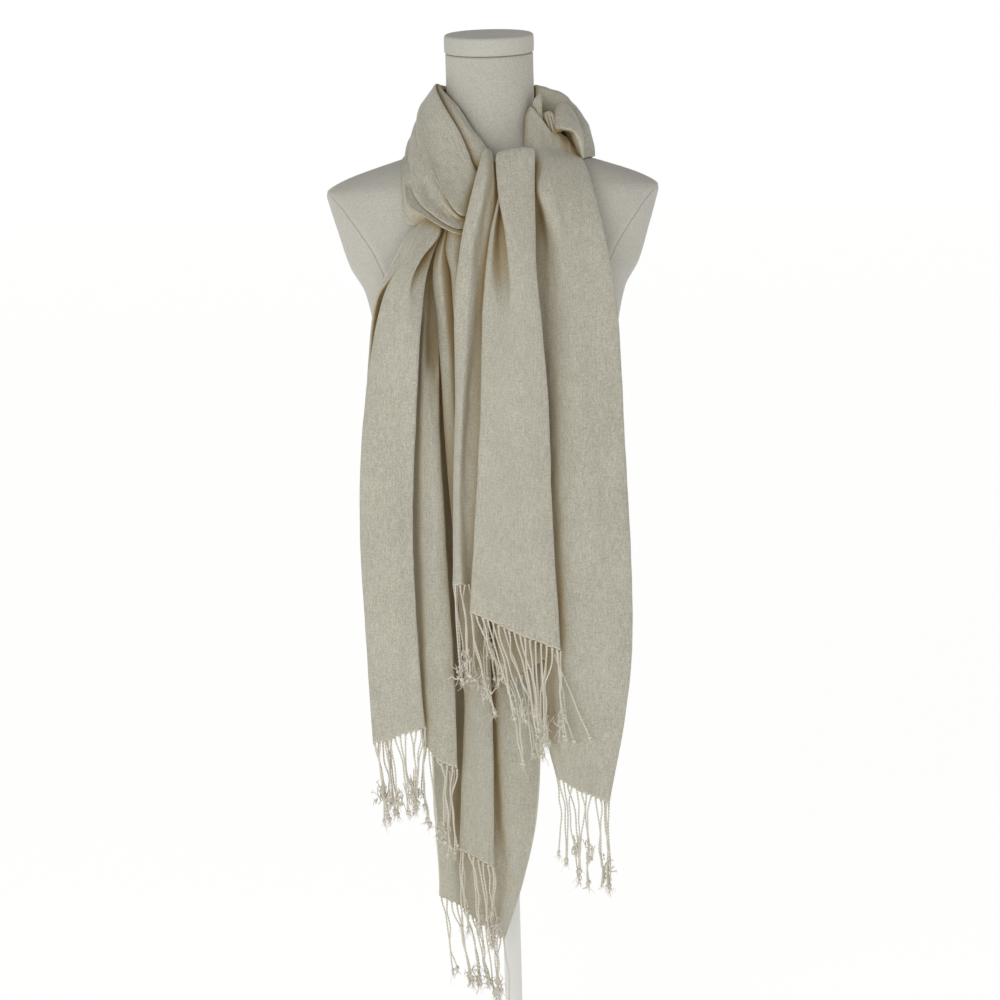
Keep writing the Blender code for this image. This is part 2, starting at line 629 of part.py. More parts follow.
# The stand and the form.
add_disc("stand_base", (BASE_RADIUS, BASE_RADIUS), BASE_HEIGHT, BASE_EDGE, STAND_PAINT, part)
collar = add_disc("stand_collar", (COLLAR_RADIUS, POLE_RADIUS + COLLAR_LIP), COLLAR_HEIGHT, 0.0,
                  STAND_PAINT, part, sides=24)
collar.location.z = BASE_HEIGHT + SEAM_GAP
pole_bottom = BASE_HEIGHT + COLLAR_HEIGHT + 2 * SEAM_GAP
plate_bottom = FORM_BOTTOM - SEAM_GAP - PLATE_HEIGHT
pole = add_disc("stand_pole", (POLE_RADIUS, POLE_RADIUS), plate_bottom - SEAM_GAP - pole_bottom,
                0.0, STAND_PAINT, part, sides=24)
pole.location.z = pole_bottom
plate = add_disc("stand_plate", (PLATE_RADIUS, PLATE_RADIUS), PLATE_HEIGHT, 0.0, STAND_PAINT, part)
plate.location.z = plate_bottom
add_torso(part)
cap = add_disc("form_neck_cap", (CAP_RADIUS, CAP_RADIUS), CAP_HEIGHT, CAP_EDGE, LINEN, part)
cap.location.z = NECK_TOP + CAP_GAP
cap.rotation_euler.x = CAP_TILT

# The wrap round the neck.
add_cloth("neck_loop", drape(loop_lines(), LOOP_STEPS), part)
add_cloth("right_roll", drape([fold[1:] for fold in RIGHT_ROLL], ROLL_STEPS), part)
add_cloth("right_twist", drape([fold[1:] for fold in RIGHT_TWIST], TWIST_STEPS), part)

# The tails, each with the fringe of its hem.
Tail = namedtuple("Tail", "name panel fringe")
TAILS = (
    Tail("right_tail", RIGHT_TAIL, Fringe("right_fringe", drift=6, pairing=2.5)),
    Tail("centre_front_tail", CENTRE_FRONT, Fringe("centre_front_fringe", drift=22, pairing=1.5)),
    Tail("centre_side_tail", CENTRE_SIDE, Fringe("centre_side_fringe", drift=3, pairing=1)),
    Tail("centre_inner_fold", CENTRE_INNER, Fringe("centre_inner_fringe", drift=10, pairing=1)),
    Tail("left_front_tail", LEFT_FRONT, Fringe("left_front_fringe", drift=12, pairing=2)),
    Tail("left_second_fold", LEFT_SECOND, Fringe("left_second_fringe", drift=8, pairing=1.5)),
    Tail("left_third_fold", LEFT_THIRD, Fringe("left_third_fringe", drift=8, pairing=1.5)),
    Tail("left_rear_fold", LEFT_REAR, Fringe("left_rear_fringe", drift=14, pairing=1.5)),
)
for tail in TAILS:
    tail_grid = drape(panel_lines(tail.panel), TAIL_STEPS)
    add_cloth(tail.name, tail_grid, part)
    add_fringe(tail.fringe, tail_grid[-1], part)
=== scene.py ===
"""The looks of a pashmina shawl on a dress form: its finishes, cloth shells and twisted fringe.

Units are metres and +Z is up. The tables give millimetres. X runs to the viewer's right and the
form faces -Y, as in the frame that everything here is built round.
"""

import math
from collections import namedtuple

import bpy
import numpy as np
from mathutils import Matrix, Vector
from mathutils.bvhtree import BVHTree


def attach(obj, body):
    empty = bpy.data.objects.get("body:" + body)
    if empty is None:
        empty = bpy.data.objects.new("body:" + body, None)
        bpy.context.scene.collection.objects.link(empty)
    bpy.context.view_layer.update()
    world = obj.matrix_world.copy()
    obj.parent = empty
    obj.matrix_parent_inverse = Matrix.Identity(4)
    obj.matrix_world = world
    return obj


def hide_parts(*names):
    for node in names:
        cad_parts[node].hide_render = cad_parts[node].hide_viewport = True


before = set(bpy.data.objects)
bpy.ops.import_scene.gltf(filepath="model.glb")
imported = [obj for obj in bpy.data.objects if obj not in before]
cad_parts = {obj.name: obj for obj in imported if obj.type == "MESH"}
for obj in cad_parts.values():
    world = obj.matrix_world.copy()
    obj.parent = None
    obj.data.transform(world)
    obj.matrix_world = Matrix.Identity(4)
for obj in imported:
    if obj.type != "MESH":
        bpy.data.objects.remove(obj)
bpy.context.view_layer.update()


# ---- The stand ---------------------------------------------------------------------------------
# A turned steel base, collar, pole and top plate with a pale powder coat. They are the frame's
# own pieces, screwed together, and only take their finish here.

COAT_DULL = (0.80, 0.79, 0.76, 1.0)
COAT_BRIGHT = (0.86, 0.85, 0.82, 1.0)
STAND_NODES = ("stand_base", "stand_collar", "stand_pole", "stand_plate")


class Shade:
    """A socket of a finish's tree. Arithmetic on it adds the Math node that works it out."""

    def __init__(self, finish, socket):
        self.finish = finish
        self.socket = socket

    def math(self, operation, *values):
        """A Math node of this operation on the shade and the values."""
        return self.finish.node("ShaderNodeMath", {"operation": operation}, self, *values)

    def axis(self, index):
        """The x, y or z of this vector, for the index 0, 1 or 2."""
        return self.finish.node("ShaderNodeSeparateXYZ", {}, self, output=index)

    def __add__(self, other):
        return self.math("ADD", other)

    def __sub__(self, other):
        return self.math("SUBTRACT", other)

    def __rsub__(self, other):
        return self.finish.node("ShaderNodeMath", {"operation": "SUBTRACT"}, other, self)

    def __mul__(self, other):
        return self.math("MULTIPLY", other)

    __radd__ = __add__
    __rmul__ = __mul__


class Finish:
    """A material or a world while it is made, with the shader that its nodes lead to."""

    def __init__(self, name, kind="materials", shader="Principled BSDF"):
        self.data = getattr(bpy.data, kind).new(name)
        self.data.use_nodes = True
        self.tree = self.data.node_tree
        self.shader = self.tree.nodes[shader]

    def plug(self, socket, value):
        """Links a Shade to the socket, or sets the socket's own value."""
        if isinstance(value, Shade):
            self.tree.links.new(value.socket, socket)
        elif value is not None:
            socket.default_value = value

    def plug_named(self, node, sockets):
        """Plugs values by their sockets' names, as in Blender but with _ for a space."""
        for name, value in sockets.items():
            self.plug(node.inputs[name.replace("_", " ")], value)

    def node(self, kind, settings, *values, output=0, **named):
        """A node of this type: its settings first, then the values or links of its sockets."""
        made = self.tree.nodes.new(kind)
        for name, value in settings.items():
            setattr(made, name, value)
        for socket, value in zip(made.inputs, values):
            self.plug(socket, value)
        self.plug_named(made, named)
        return Shade(self, made.outputs[output])

    def noise(self, place, scale, detail=2.0, roughness=0.5):
        """A noise value from 0 to 1 at these coordinates."""
        return self.node("ShaderNodeTexNoise", {}, Vector=place, Scale=scale, Detail=detail,
                         Roughness=roughness)

    def stretched(self, place, *factors):
        """These coordinates, each times its factor."""
        return self.node("ShaderNodeVectorMath", {"operation": "MULTIPLY"}, place, factors)

    def spread(self, value, start, end, low=0.0, high=1.0):
        """How far a value is on its way from start to end, as a number from low to high."""
        return self.node("ShaderNodeMapRange", {}, value, start, end, low, high)

    def mix(self, share, low, high):
        """The colour a share of the way from low to high."""
        return self.node("ShaderNodeMix", {"data_type": "RGBA"}, share, None, None, None, None,
                         None, low, high, output=2)

    def relief(self, strength, distance, height):
        """A normal that shows these heights, which are too fine for the mesh."""
        return self.node("ShaderNodeBump", {}, Strength=strength, Distance=distance,
                         Height=height)

    def surface(self, **sockets):
        """Sets or links these sockets of the shader."""
        self.plug_named(self.shader, sockets)


def powder_coat():
    """Pale powder coat, with the fine orange peel that such a coat has."""
    coat = Finish("powder_coat")
    place = coat.node("ShaderNodeTexCoord", {}, output="Object")
    peel = coat.noise(place, 900.0, 1.0)
    mottle = coat.noise(place, 14.0, 3.0)
    coat.surface(
        Base_Color=coat.mix(mottle, COAT_DULL, COAT_BRIGHT),
        Roughness=0.36 + 0.10 * mottle,
        Normal=coat.relief(0.25, 0.0001, peel))
    return coat.data


stand_coat = powder_coat()
for node_name in STAND_NODES:
    stand_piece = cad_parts[node_name]
    stand_piece.data.materials.clear()
    stand_piece.data.materials.append(stand_coat)


# ---- The dress form ----------------------------------------------------------------------------
# A light moulded shell, drawn over with stretched off-white linen that is seamed at the armholes
# and down the middle of the back, with a separate covered cap that closes its neck.

MM = 0.001
LINEN_DARK = (0.440, 0.422, 0.366, 1.0)
LINEN_LIGHT = (0.610, 0.588, 0.522, 1.0)
LINEN_SEAM = (0.24, 0.225, 0.19, 1.0)
LINEN_THREAD = 1.1 * MM         # from one thread to the next

# Horizontal sections of the form, from the hips up. front and back are its depths either side
# of the axis, and power is the exponent of its rounded outline: 2 is an ellipse.
Ring = namedtuple("Ring", "height half_width front back power")
FORM_RINGS = (
    Ring(700, 140, 60, 98, 2.2),
    Ring(760, 138, 66, 100, 2.2),
    Ring(840, 124, 69, 90, 2.2),
    Ring(920, 117, 69, 76, 2.2),
    Ring(1000, 132, 77, 80, 2.3),
    Ring(1080, 147, 88, 94, 2.5),
    Ring(1144, 160, 93, 106, 2.6),
    Ring(1175, 177, 92, 109, 2.6),
    Ring(1220, 191, 88, 108, 2.6),
    Ring(1252, 200, 83, 103, 2.5),
    Ring(1266, 202, 80, 99, 2.4),
    Ring(1274, 194, 78, 96, 2.3),
    Ring(1284, 174, 74, 92, 2.2),
    Ring(1295, 142, 70, 87, 2.1),
    Ring(1306, 107, 65, 82, 2.0),
    Ring(1316, 80, 62, 75, 2.0),
    Ring(1330, 62, 58, 66, 2.0),
    Ring(1350, 55, 55, 58, 2.0),
    Ring(1390, 53.5, 53.5, 54, 2.0),
    Ring(1431, 53.5, 53.5, 53.5, 2.0),
)
COVER_SIDES = 232               # points round the torso's cover
COVER_STEP = 3.6 * MM
NECK_TOP = 1431 * MM
NECK_RIM = 2.2 * MM             # where the neck's top edge begins to round over
NECK_LEAN_FROM = 1365 * MM      # where the neck's sections begin to tilt with the cap
CAP_TILT = math.radians(9.0)
CAP_SIDES = 160
CAP_RADIUS = 54.5 * MM
CAP_HEIGHT = 22 * MM
CAP_CROWN = 0.6 * MM            # rise of the cap's top at its middle
CAP_ROUNDING = 3.6 * MM
CAP_SEAT = 0.5 * MM             # height of the cap's underside over the neck's top
CAP_EYE = 0.3 * MM              # radius of the smallest ring, at the middle of its top

# Where the armhole seam runs on the viewer's right, half way round the shoulder, from its tip
# down to the side; the other one mirrors it.
SeamPoint = namedtuple("SeamPoint", "x z")
ARMHOLE = (SeamPoint(195, 1262), SeamPoint(182, 1248), SeamPoint(163, 1222), SeamPoint(146, 1196),
           SeamPoint(134, 1170), SeamPoint(128, 1140))
SEAM_REACH = 30 * MM            # a point farther off than this has no seam near it
SEAM_END = 0.98                 # share of the armhole seam's length that shows
SEAM_TOP = (ARMHOLE[0].z + 2) * MM
ALLOWANCE = 10 * MM             # width of the seam allowance under the cover
ALLOWANCE_RISE = 2.4 * MM       # how far it lifts the cover at the armhole
ALLOWANCE_FADES = 0.75          # share of the seam's length from which that rise dies out
BACK_SEAM_WIDTH = 5 * MM
BACK_SEAM_RISE = 0.5 * MM


def linen():
    """Stretched off-white linen: a plain weave with slubs, a little dusty in its broad tones.

    The last part of lie is the distance from the nearest seam, which is stitched down on itself.
    """
    cover = Finish("form_linen")
    lie = cover.node("ShaderNodeAttribute", {"attribute_name": "lie"}, output="Vector")
    seam = cover.spread(lie.axis(2).math("ABSOLUTE"), 0.3 * MM, 1.0 * MM, 1.0, 0.0)
    wander = 5.0 * cover.noise(lie, 260.0, 2.0)
    warp, weft = ((lie.axis(way) * (2 * math.pi / LINEN_THREAD) + wander).math("SINE")
                  for way in (0, 1))
    slub = cover.noise(cover.stretched(lie, 1.0, 0.12, 0.0), 900.0, 2.0)
    speck = cover.noise(lie, 620.0, 2.0, 0.6)
    broad = cover.noise(lie, 9.0, 3.0)
    tint = cover.spread(0.6 * speck + 0.2 * slub + 0.2 * broad, 0.36, 0.66)
    weave = 0.15 * warp + 0.15 * weft + 0.9 * speck + 0.3 * slub
    cover.surface(
        Base_Color=cover.mix(0.6 * seam, cover.mix(tint, LINEN_DARK, LINEN_LIGHT), LINEN_SEAM),
        Roughness=0.84, Sheen_Weight=0.12, Sheen_Roughness=0.5,
        Normal=cover.relief(0.4, 0.0002, weave - 4.0 * seam))
    return cover.data


def cubic(start, end, leave, arrive, t):
    """The share t of the way along a cubic that leaves start and reaches end at these slopes."""
    return (start * (2 * t ** 3 - 3 * t ** 2 + 1) + leave * (t ** 3 - 2 * t ** 2 + t)
            + end * (3 * t ** 2 - 2 * t ** 3) + arrive * (t ** 3 - t ** 2))


def form_section(height):
    """Half width, front, back and power of the form's outline at a height, in metres."""
    rings = np.array(FORM_RINGS)
    level = min(max(height / MM, rings[0, 0]), rings[-1, 0])
    index = np.count_nonzero(rings[:-1, 0] <= level) - 1
    low, high = rings[index], rings[index + 1]
    below, above = rings[max(index - 1, 0)], rings[min(index + 2, len(rings) - 1)]
    rise = high[0] - low[0]
    leave = (high - below) / (high[0] - below[0]) * rise
    arrive = (above - low) / (above[0] - low[0]) * rise
    section = Ring(*cubic(low, high, leave, arrive, (level - low[0]) / rise).tolist())
    return section.half_width * MM, section.front * MM, section.back * MM, section.power


def mesh_of(name, points, faces, lie):
    """A smooth mesh with each point's place on the flat cloth kept as its attribute lie."""
    mesh = bpy.data.meshes.new(name)
    mesh.from_pydata([tuple(point) for point in points], [], faces)
    lie = np.asarray(lie)
    flat = np.zeros((len(points), 3), np.float32)
    flat[:, :lie.shape[1]] = lie
    mesh.attributes.new("lie", "FLOAT_VECTOR", "POINT").data.foreach_set("vector", flat.ravel())
    mesh.shade_smooth()
    return mesh


def add_piece(mesh, finish, slot, *nodes):
    """An object of this mesh on the part's one body, in place of the frame's nodes."""
    piece = bpy.data.objects.new(mesh.name, mesh)
    bpy.context.scene.collection.objects.link(piece)
    mesh.materials.append(finish)
    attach(piece, "root")
    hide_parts(*nodes)
    return piece


def tube_faces(rings, sides, first=0):
    """Quads between successive rings of points."""
    return [(first + ring * sides + i, first + ring * sides + (i + 1) % sides,
             first + (ring + 1) * sides + (i + 1) % sides, first + (ring + 1) * sides + i)
            for ring in range(rings - 1) for i in range(sides)]


def seam_distance(x, z):
    """Distance of a front point from the armhole seam, and how far along the seam it is.

    The distance is less than nothing on the side of the arm.
    """
    nearest, share = 1.0, 0.0
    for step, (start, end) in enumerate(zip(ARMHOLE, ARMHOLE[1:])):
        run = Vector((end.x - start.x, end.z - start.z)) * MM
        offset = Vector((abs(x) - start.x * MM, z - start.z * MM))
        t = min(max(offset.dot(run) / run.length_squared, 0.0), 1.0)
        gap = (offset - run * t).length
        if gap < abs(nearest):
            nearest = math.copysign(gap, run.cross(offset) * -1)
            share = (step + t) / (len(ARMHOLE) - 1)
    return nearest, share


def seam_at(x, y, z):
    """The signed distance from the nearest seam that shows at a point of the cover."""
    gap, share = seam_distance(x, z)
    if share > SEAM_END or abs(gap) > SEAM_REACH or z > SEAM_TOP:
        gap = SEAM_REACH
    return min(gap, abs(x)) if y > 0.0 and gap > 0.0 else gap


def seam_relief(x, y, z):
    """How far the cover stands out beside its seams, where their allowances lie under it."""
    gap, share = seam_distance(x, z)
    strength = 1.0 - max(share - ALLOWANCE_FADES, 0.0) / (1.0 - ALLOWANCE_FADES)
    relief = strength * ALLOWANCE_RISE * math.exp(-abs(gap - ALLOWANCE / 2) / ALLOWANCE)
    if y > 0.0:
        relief += BACK_SEAM_RISE * math.exp(-abs(x) / BACK_SEAM_WIDTH)
    return relief


def rounded(wave, power, reach):
    """A sine or cosine bent to the form's rounded outline, times the outline's reach."""
    return math.copysign(abs(wave) ** (2 / power), wave) * reach


def form_cover(finish):
    """The covered torso and neck, lofted through its sections, closed over at both ends.

    Each ring is its height and its outline's share of the section there.
    """
    bottom = FORM_RINGS[0].height * MM
    rings = [(bottom, 0.80), (bottom + 0.3 * MM, 0.985), (bottom + 1.2 * MM, 0.997)]
    levels = np.arange(bottom + COVER_STEP, NECK_TOP - COVER_STEP, COVER_STEP)
    rings += [(level, 1.0) for level in (*levels, NECK_TOP - NECK_RIM)]
    rings += [(NECK_TOP - 0.8 * MM, 0.988), (NECK_TOP - 0.2 * MM, 0.962), (NECK_TOP, 0.90)]
    points, lie = [], []
    for height, shrink in rings:
        half_width, front, back, power = form_section(height)
        tilted = max(height - NECK_LEAN_FROM, 0.0) / (NECK_TOP - NECK_LEAN_FROM)
        girth = 0.0
        for side in range(COVER_SIDES):
            angle = 2 * math.pi * side / COVER_SIDES
            deep = back if math.sin(angle) > 0 else front
            x = rounded(math.cos(angle), power, half_width)
            y = rounded(math.sin(angle), power, deep)
            out = Vector((x / half_width ** 2, y / deep ** 2, 0.0)).normalized()
            place = Vector((x, y, 0.0)) * shrink + out * seam_relief(x, y, height)
            place.z = height + tilted * math.tan(CAP_TILT) * place.y
            if side:
                girth += (place - points[-1]).length
            points.append(place)
            lie.append((girth, height, seam_at(x, y, height)))
    faces = tube_faces(len(rings), COVER_SIDES)
    faces.append(tuple(reversed(range(COVER_SIDES))))
    faces.append(tuple(range(len(points) - COVER_SIDES, len(points))))
    mesh = mesh_of("form_cover", points, faces, lie)
    mesh.set_sharp_from_angle(angle=math.radians(60))
    return add_piece(mesh, finish, "form_linen", "form_torso")


def neck_cap(finish):
    """The covered cap: a low drum with rounded edges, its cover gathered smooth over the top."""
    turns = 6
    bends = [math.pi / 2 * i / turns for i in range(turns + 1)]
    top = [(0.0, CAP_HEIGHT)]
    top += [(CAP_RADIUS * share, CAP_HEIGHT + CAP_CROWN * (1 - share ** 2))
            for share in (0.3, 0.6, 0.85)]
    corner = [(CAP_RADIUS - CAP_ROUNDING * (1 - math.sin(bend)),
               CAP_HEIGHT - CAP_ROUNDING * (1 - math.cos(bend))) for bend in bends]
    wall = [(CAP_RADIUS + 0.25 * MM, CAP_HEIGHT * 0.5), (CAP_RADIUS, 1.8 * MM),
            (CAP_RADIUS - 0.6 * MM, 0.5 * MM), (CAP_RADIUS - 2.0 * MM, 0.0), (0.0, 0.0)]
    profile = top + corner + wall
    tilt = Matrix.Translation((0, 0, NECK_TOP + CAP_SEAT)) @ Matrix.Rotation(CAP_TILT, 4, "X")
    points, lie, run = [], [], 0.0
    for index, (radius, height) in enumerate(profile):
        if index:
            run += math.dist(profile[index - 1], profile[index])
        radius = max(radius, CAP_EYE)
        for side in range(CAP_SIDES):
            angle = 2 * math.pi * side / CAP_SIDES
            x, y = radius * math.cos(angle), radius * math.sin(angle)
            points.append(tilt @ Vector((x, y, height)))
            lie.append((x, y, 1.0) if index <= len(top) else (CAP_RADIUS * angle, run, 1.0))
    faces = [tuple(reversed(face)) for face in tube_faces(len(profile), CAP_SIDES)]
    faces.append(tuple(range(CAP_SIDES)))
    faces.append(tuple(reversed(range(len(points) - CAP_SIDES, len(points)))))
    return add_piece(mesh_of("neck_cap_cover", points, faces, lie), finish, "form_linen",
                     "form_neck_cap")


form_linen = linen()
covered_form = form_cover(form_linen)
neck_cap(form_linen)
form_surface = BVHTree.FromObject(covered_form, bpy.context.evaluated_depsgraph_get())


# ---- The wrap round the neck -------------------------------------------------------------------
# The shawl's middle: a soft cream twill, woven of fine two-ply goat's wool, gathered in the hand
# and wound once round the neck, from the right shoulder by the nape to the left breast.

TWILL_DARK = (0.344, 0.327, 0.258, 1.0)
TWILL_LIGHT = (0.603, 0.578, 0.480, 1.0)
# Painted highlight: the lighter colour mixed in along the rolled edges and hems.
PAINTED_EDGE_HIGHLIGHT = (0.74, 0.70, 0.56, 1.0)
# The next two are painted shade: the colours the twill is mixed towards inside folds and gaps.
PAINTED_FOLD_SHADE = (0.430, 0.318, 0.140, 1.0)
PAINTED_DEEP_FOLD_SHADE = (0.310, 0.205, 0.075, 1.0)
RIB_PITCH = 1.9 * MM            # from one diagonal rib of the twill to the next
PAINTED_SHADE_REACH = 55 * MM            # how far from a spot other cloth still shades it
CLOTH_THICKNESS = 1.0 * MM
CLOTH_CLEARANCE = 2.2 * MM      # least distance from the cloth's middle to the form
CLEARANCE_SEARCH = 30 * MM      # how far off the form is looked for
CELL_ALONG = 3.8 * MM
CELL_ACROSS = 2.0 * MM
WAVE_SPREAD = (0.7, 1.6)        # lengths of soft waves, as shares of their mean
PULL_REACH = 3 * MM             # how far above the hem a cord's pull dies out

# A lip is an overlapping fold: the cloth on the neck's side of its path stands up by its height
# and laps over the other. A crease is a soft trough along its path.
Lip = namedtuple("Lip", "name width height lap path")
Crease = namedtuple("Crease", "name width depth path")
LIP_TURN = 0.25                 # share of a lip's width in which it turns over its edge
LIP_LAP = 0.6                   # share of its width over which it is drawn across
FADE_INSIDE = 0.16              # share of a fold's length in which it grows from its end
FADE_PAST = 0.08                # share of its length by which it runs on past that end
PATH_SMOOTHING = 9              # rows over which a fold's path is evened out
FRONT_FIRST = 0.5 * MM          # how strongly the foremost of two layers is chosen
TURNED_AWAY = 0.1               # y of a face's direction from which it is out of sight in front


def twill():
    """Soft cream twill: fine diagonal ribs, uneven yarns, a brushed nap with a faint sheen.

    Inside folds and gaps, where other cloth is near, the colour is painted darker and warmer as
    painted shade. The last part of lie is the distance from the nearest edge, where a corded
    selvedge or hem runs; the lighter colour along it is a painted highlight.
    """
    cloth = Finish("cream_twill")
    lie = cloth.node("ShaderNodeAttribute", {"attribute_name": "lie"}, output="Vector")
    rib = (lie.axis(0) + 0.8 * lie.axis(1)) * (2 * math.pi / RIB_PITCH)
    ribs = (rib + 7.0 * cloth.noise(lie, 180.0, 2.0)).math("SINE")
    warp_yarn = cloth.noise(cloth.stretched(lie, 1.0, 0.10, 0.0), 640.0, 2.0, 0.6)
    weft_yarn = cloth.noise(cloth.stretched(lie, 0.16, 1.0, 0.0), 560.0, 1.0, 0.5)
    nap = cloth.noise(lie, 820.0, 3.0, 0.75)
    fleck = cloth.noise(lie, 300.0, 2.0, 0.6)
    broad = cloth.noise(lie, 16.0, 3.0)
    tone = (0.58 * nap + 0.16 * warp_yarn + 0.06 * weft_yarn + 0.12 * fleck + 0.08 * broad
            + 0.015 * ribs)
    # A corded selvedge or hem along each edge: its relief is real, its lighter colour a painted
    # highlight.
    selvedge = cloth.spread(lie.axis(2), 0.8 * MM, 2.0 * MM, 1.0, 0.0)
    # Painted shade: how open each spot is to the cloth around it sets how far its colour is
    # darkened.
    openness_for_painted_shade = cloth.node("ShaderNodeAmbientOcclusion", {"samples": 8}, Distance=PAINTED_SHADE_REACH,
                          output="AO")
    colour = cloth.mix(cloth.spread(tone, 0.42, 0.58), TWILL_DARK, TWILL_LIGHT)
    colour = cloth.mix(0.55 * selvedge, colour, PAINTED_EDGE_HIGHLIGHT)
    # Painted shade, warmer where other cloth is near; the deepest spots are painted darker still
    # below.
    colour = cloth.mix(cloth.spread(openness_for_painted_shade, 0.76, 0.24), colour, PAINTED_FOLD_SHADE)
    weave = 0.15 * ribs + 1.1 * nap + 0.3 * warp_yarn + 0.15 * weft_yarn
    cloth.surface(
        Base_Color=cloth.mix(cloth.spread(openness_for_painted_shade, 0.42, 0.06), colour, PAINTED_DEEP_FOLD_SHADE),
        Roughness=0.80 + 0.12 * nap, Sheen_Weight=0.20, Sheen_Roughness=0.45,
        Normal=cloth.relief(0.45, 0.0003, weave + 0.8 * selvedge))
    return cloth.data


def spline(points, steps):
    """Centripetal Catmull-Rom curves through rows of points, each span cut into its steps."""
    points = np.asarray(points, float)
    ends = np.concatenate([2 * points[:1] - points[1:2], points, 2 * points[-1:] - points[-2:-1]])
    spans = np.maximum(np.linalg.norm(np.diff(ends, axis=0), axis=-1, keepdims=True), 1e-6) ** 0.5
    rows = []
    for i, count in enumerate(steps):
        before, start, end, after = ends[i:i + 4]
        first, middle, last = spans[i:i + 3]
        leave = ((start - before) / first - (end - before) / (first + middle)
                 + (end - start) / middle) * middle
        arrive = ((end - start) / middle - (after - start) / (middle + last)
                  + (after - end) / last) * middle
        rows.extend(cubic(start, end, leave, arrive, t) for t in np.arange(count) / count)
    rows.append(points[-1])
    return np.array(rows)


def steps_for(points, cell):
    """How many steps each span between rows of points needs, for cells of about this size."""
    spans = np.linalg.norm(np.diff(points, axis=0), axis=-1)
    return [max(int(math.ceil(width / cell)), 2) for width in spans.max(axis=1)]


def run_along(points):
    """Mean distance of each row of points from the first one, measured over the surface."""
    spans = np.linalg.norm(np.diff(points, axis=0), axis=-1).mean(axis=1)
    return np.concatenate([[0.0], np.cumsum(spans)])


def unit(vectors):
    """These vectors, each drawn out or cut to a length of 1."""
    return vectors / np.maximum(np.linalg.norm(vectors, axis=-1, keepdims=True), 1e-9)


def fade(value, start, end):
    """0 at the start and 1 at the end, with a smooth slope between."""
    t = np.clip((value - start) / (end - start), 0.0, 1.0)
    return t * t * (3 - 2 * t)


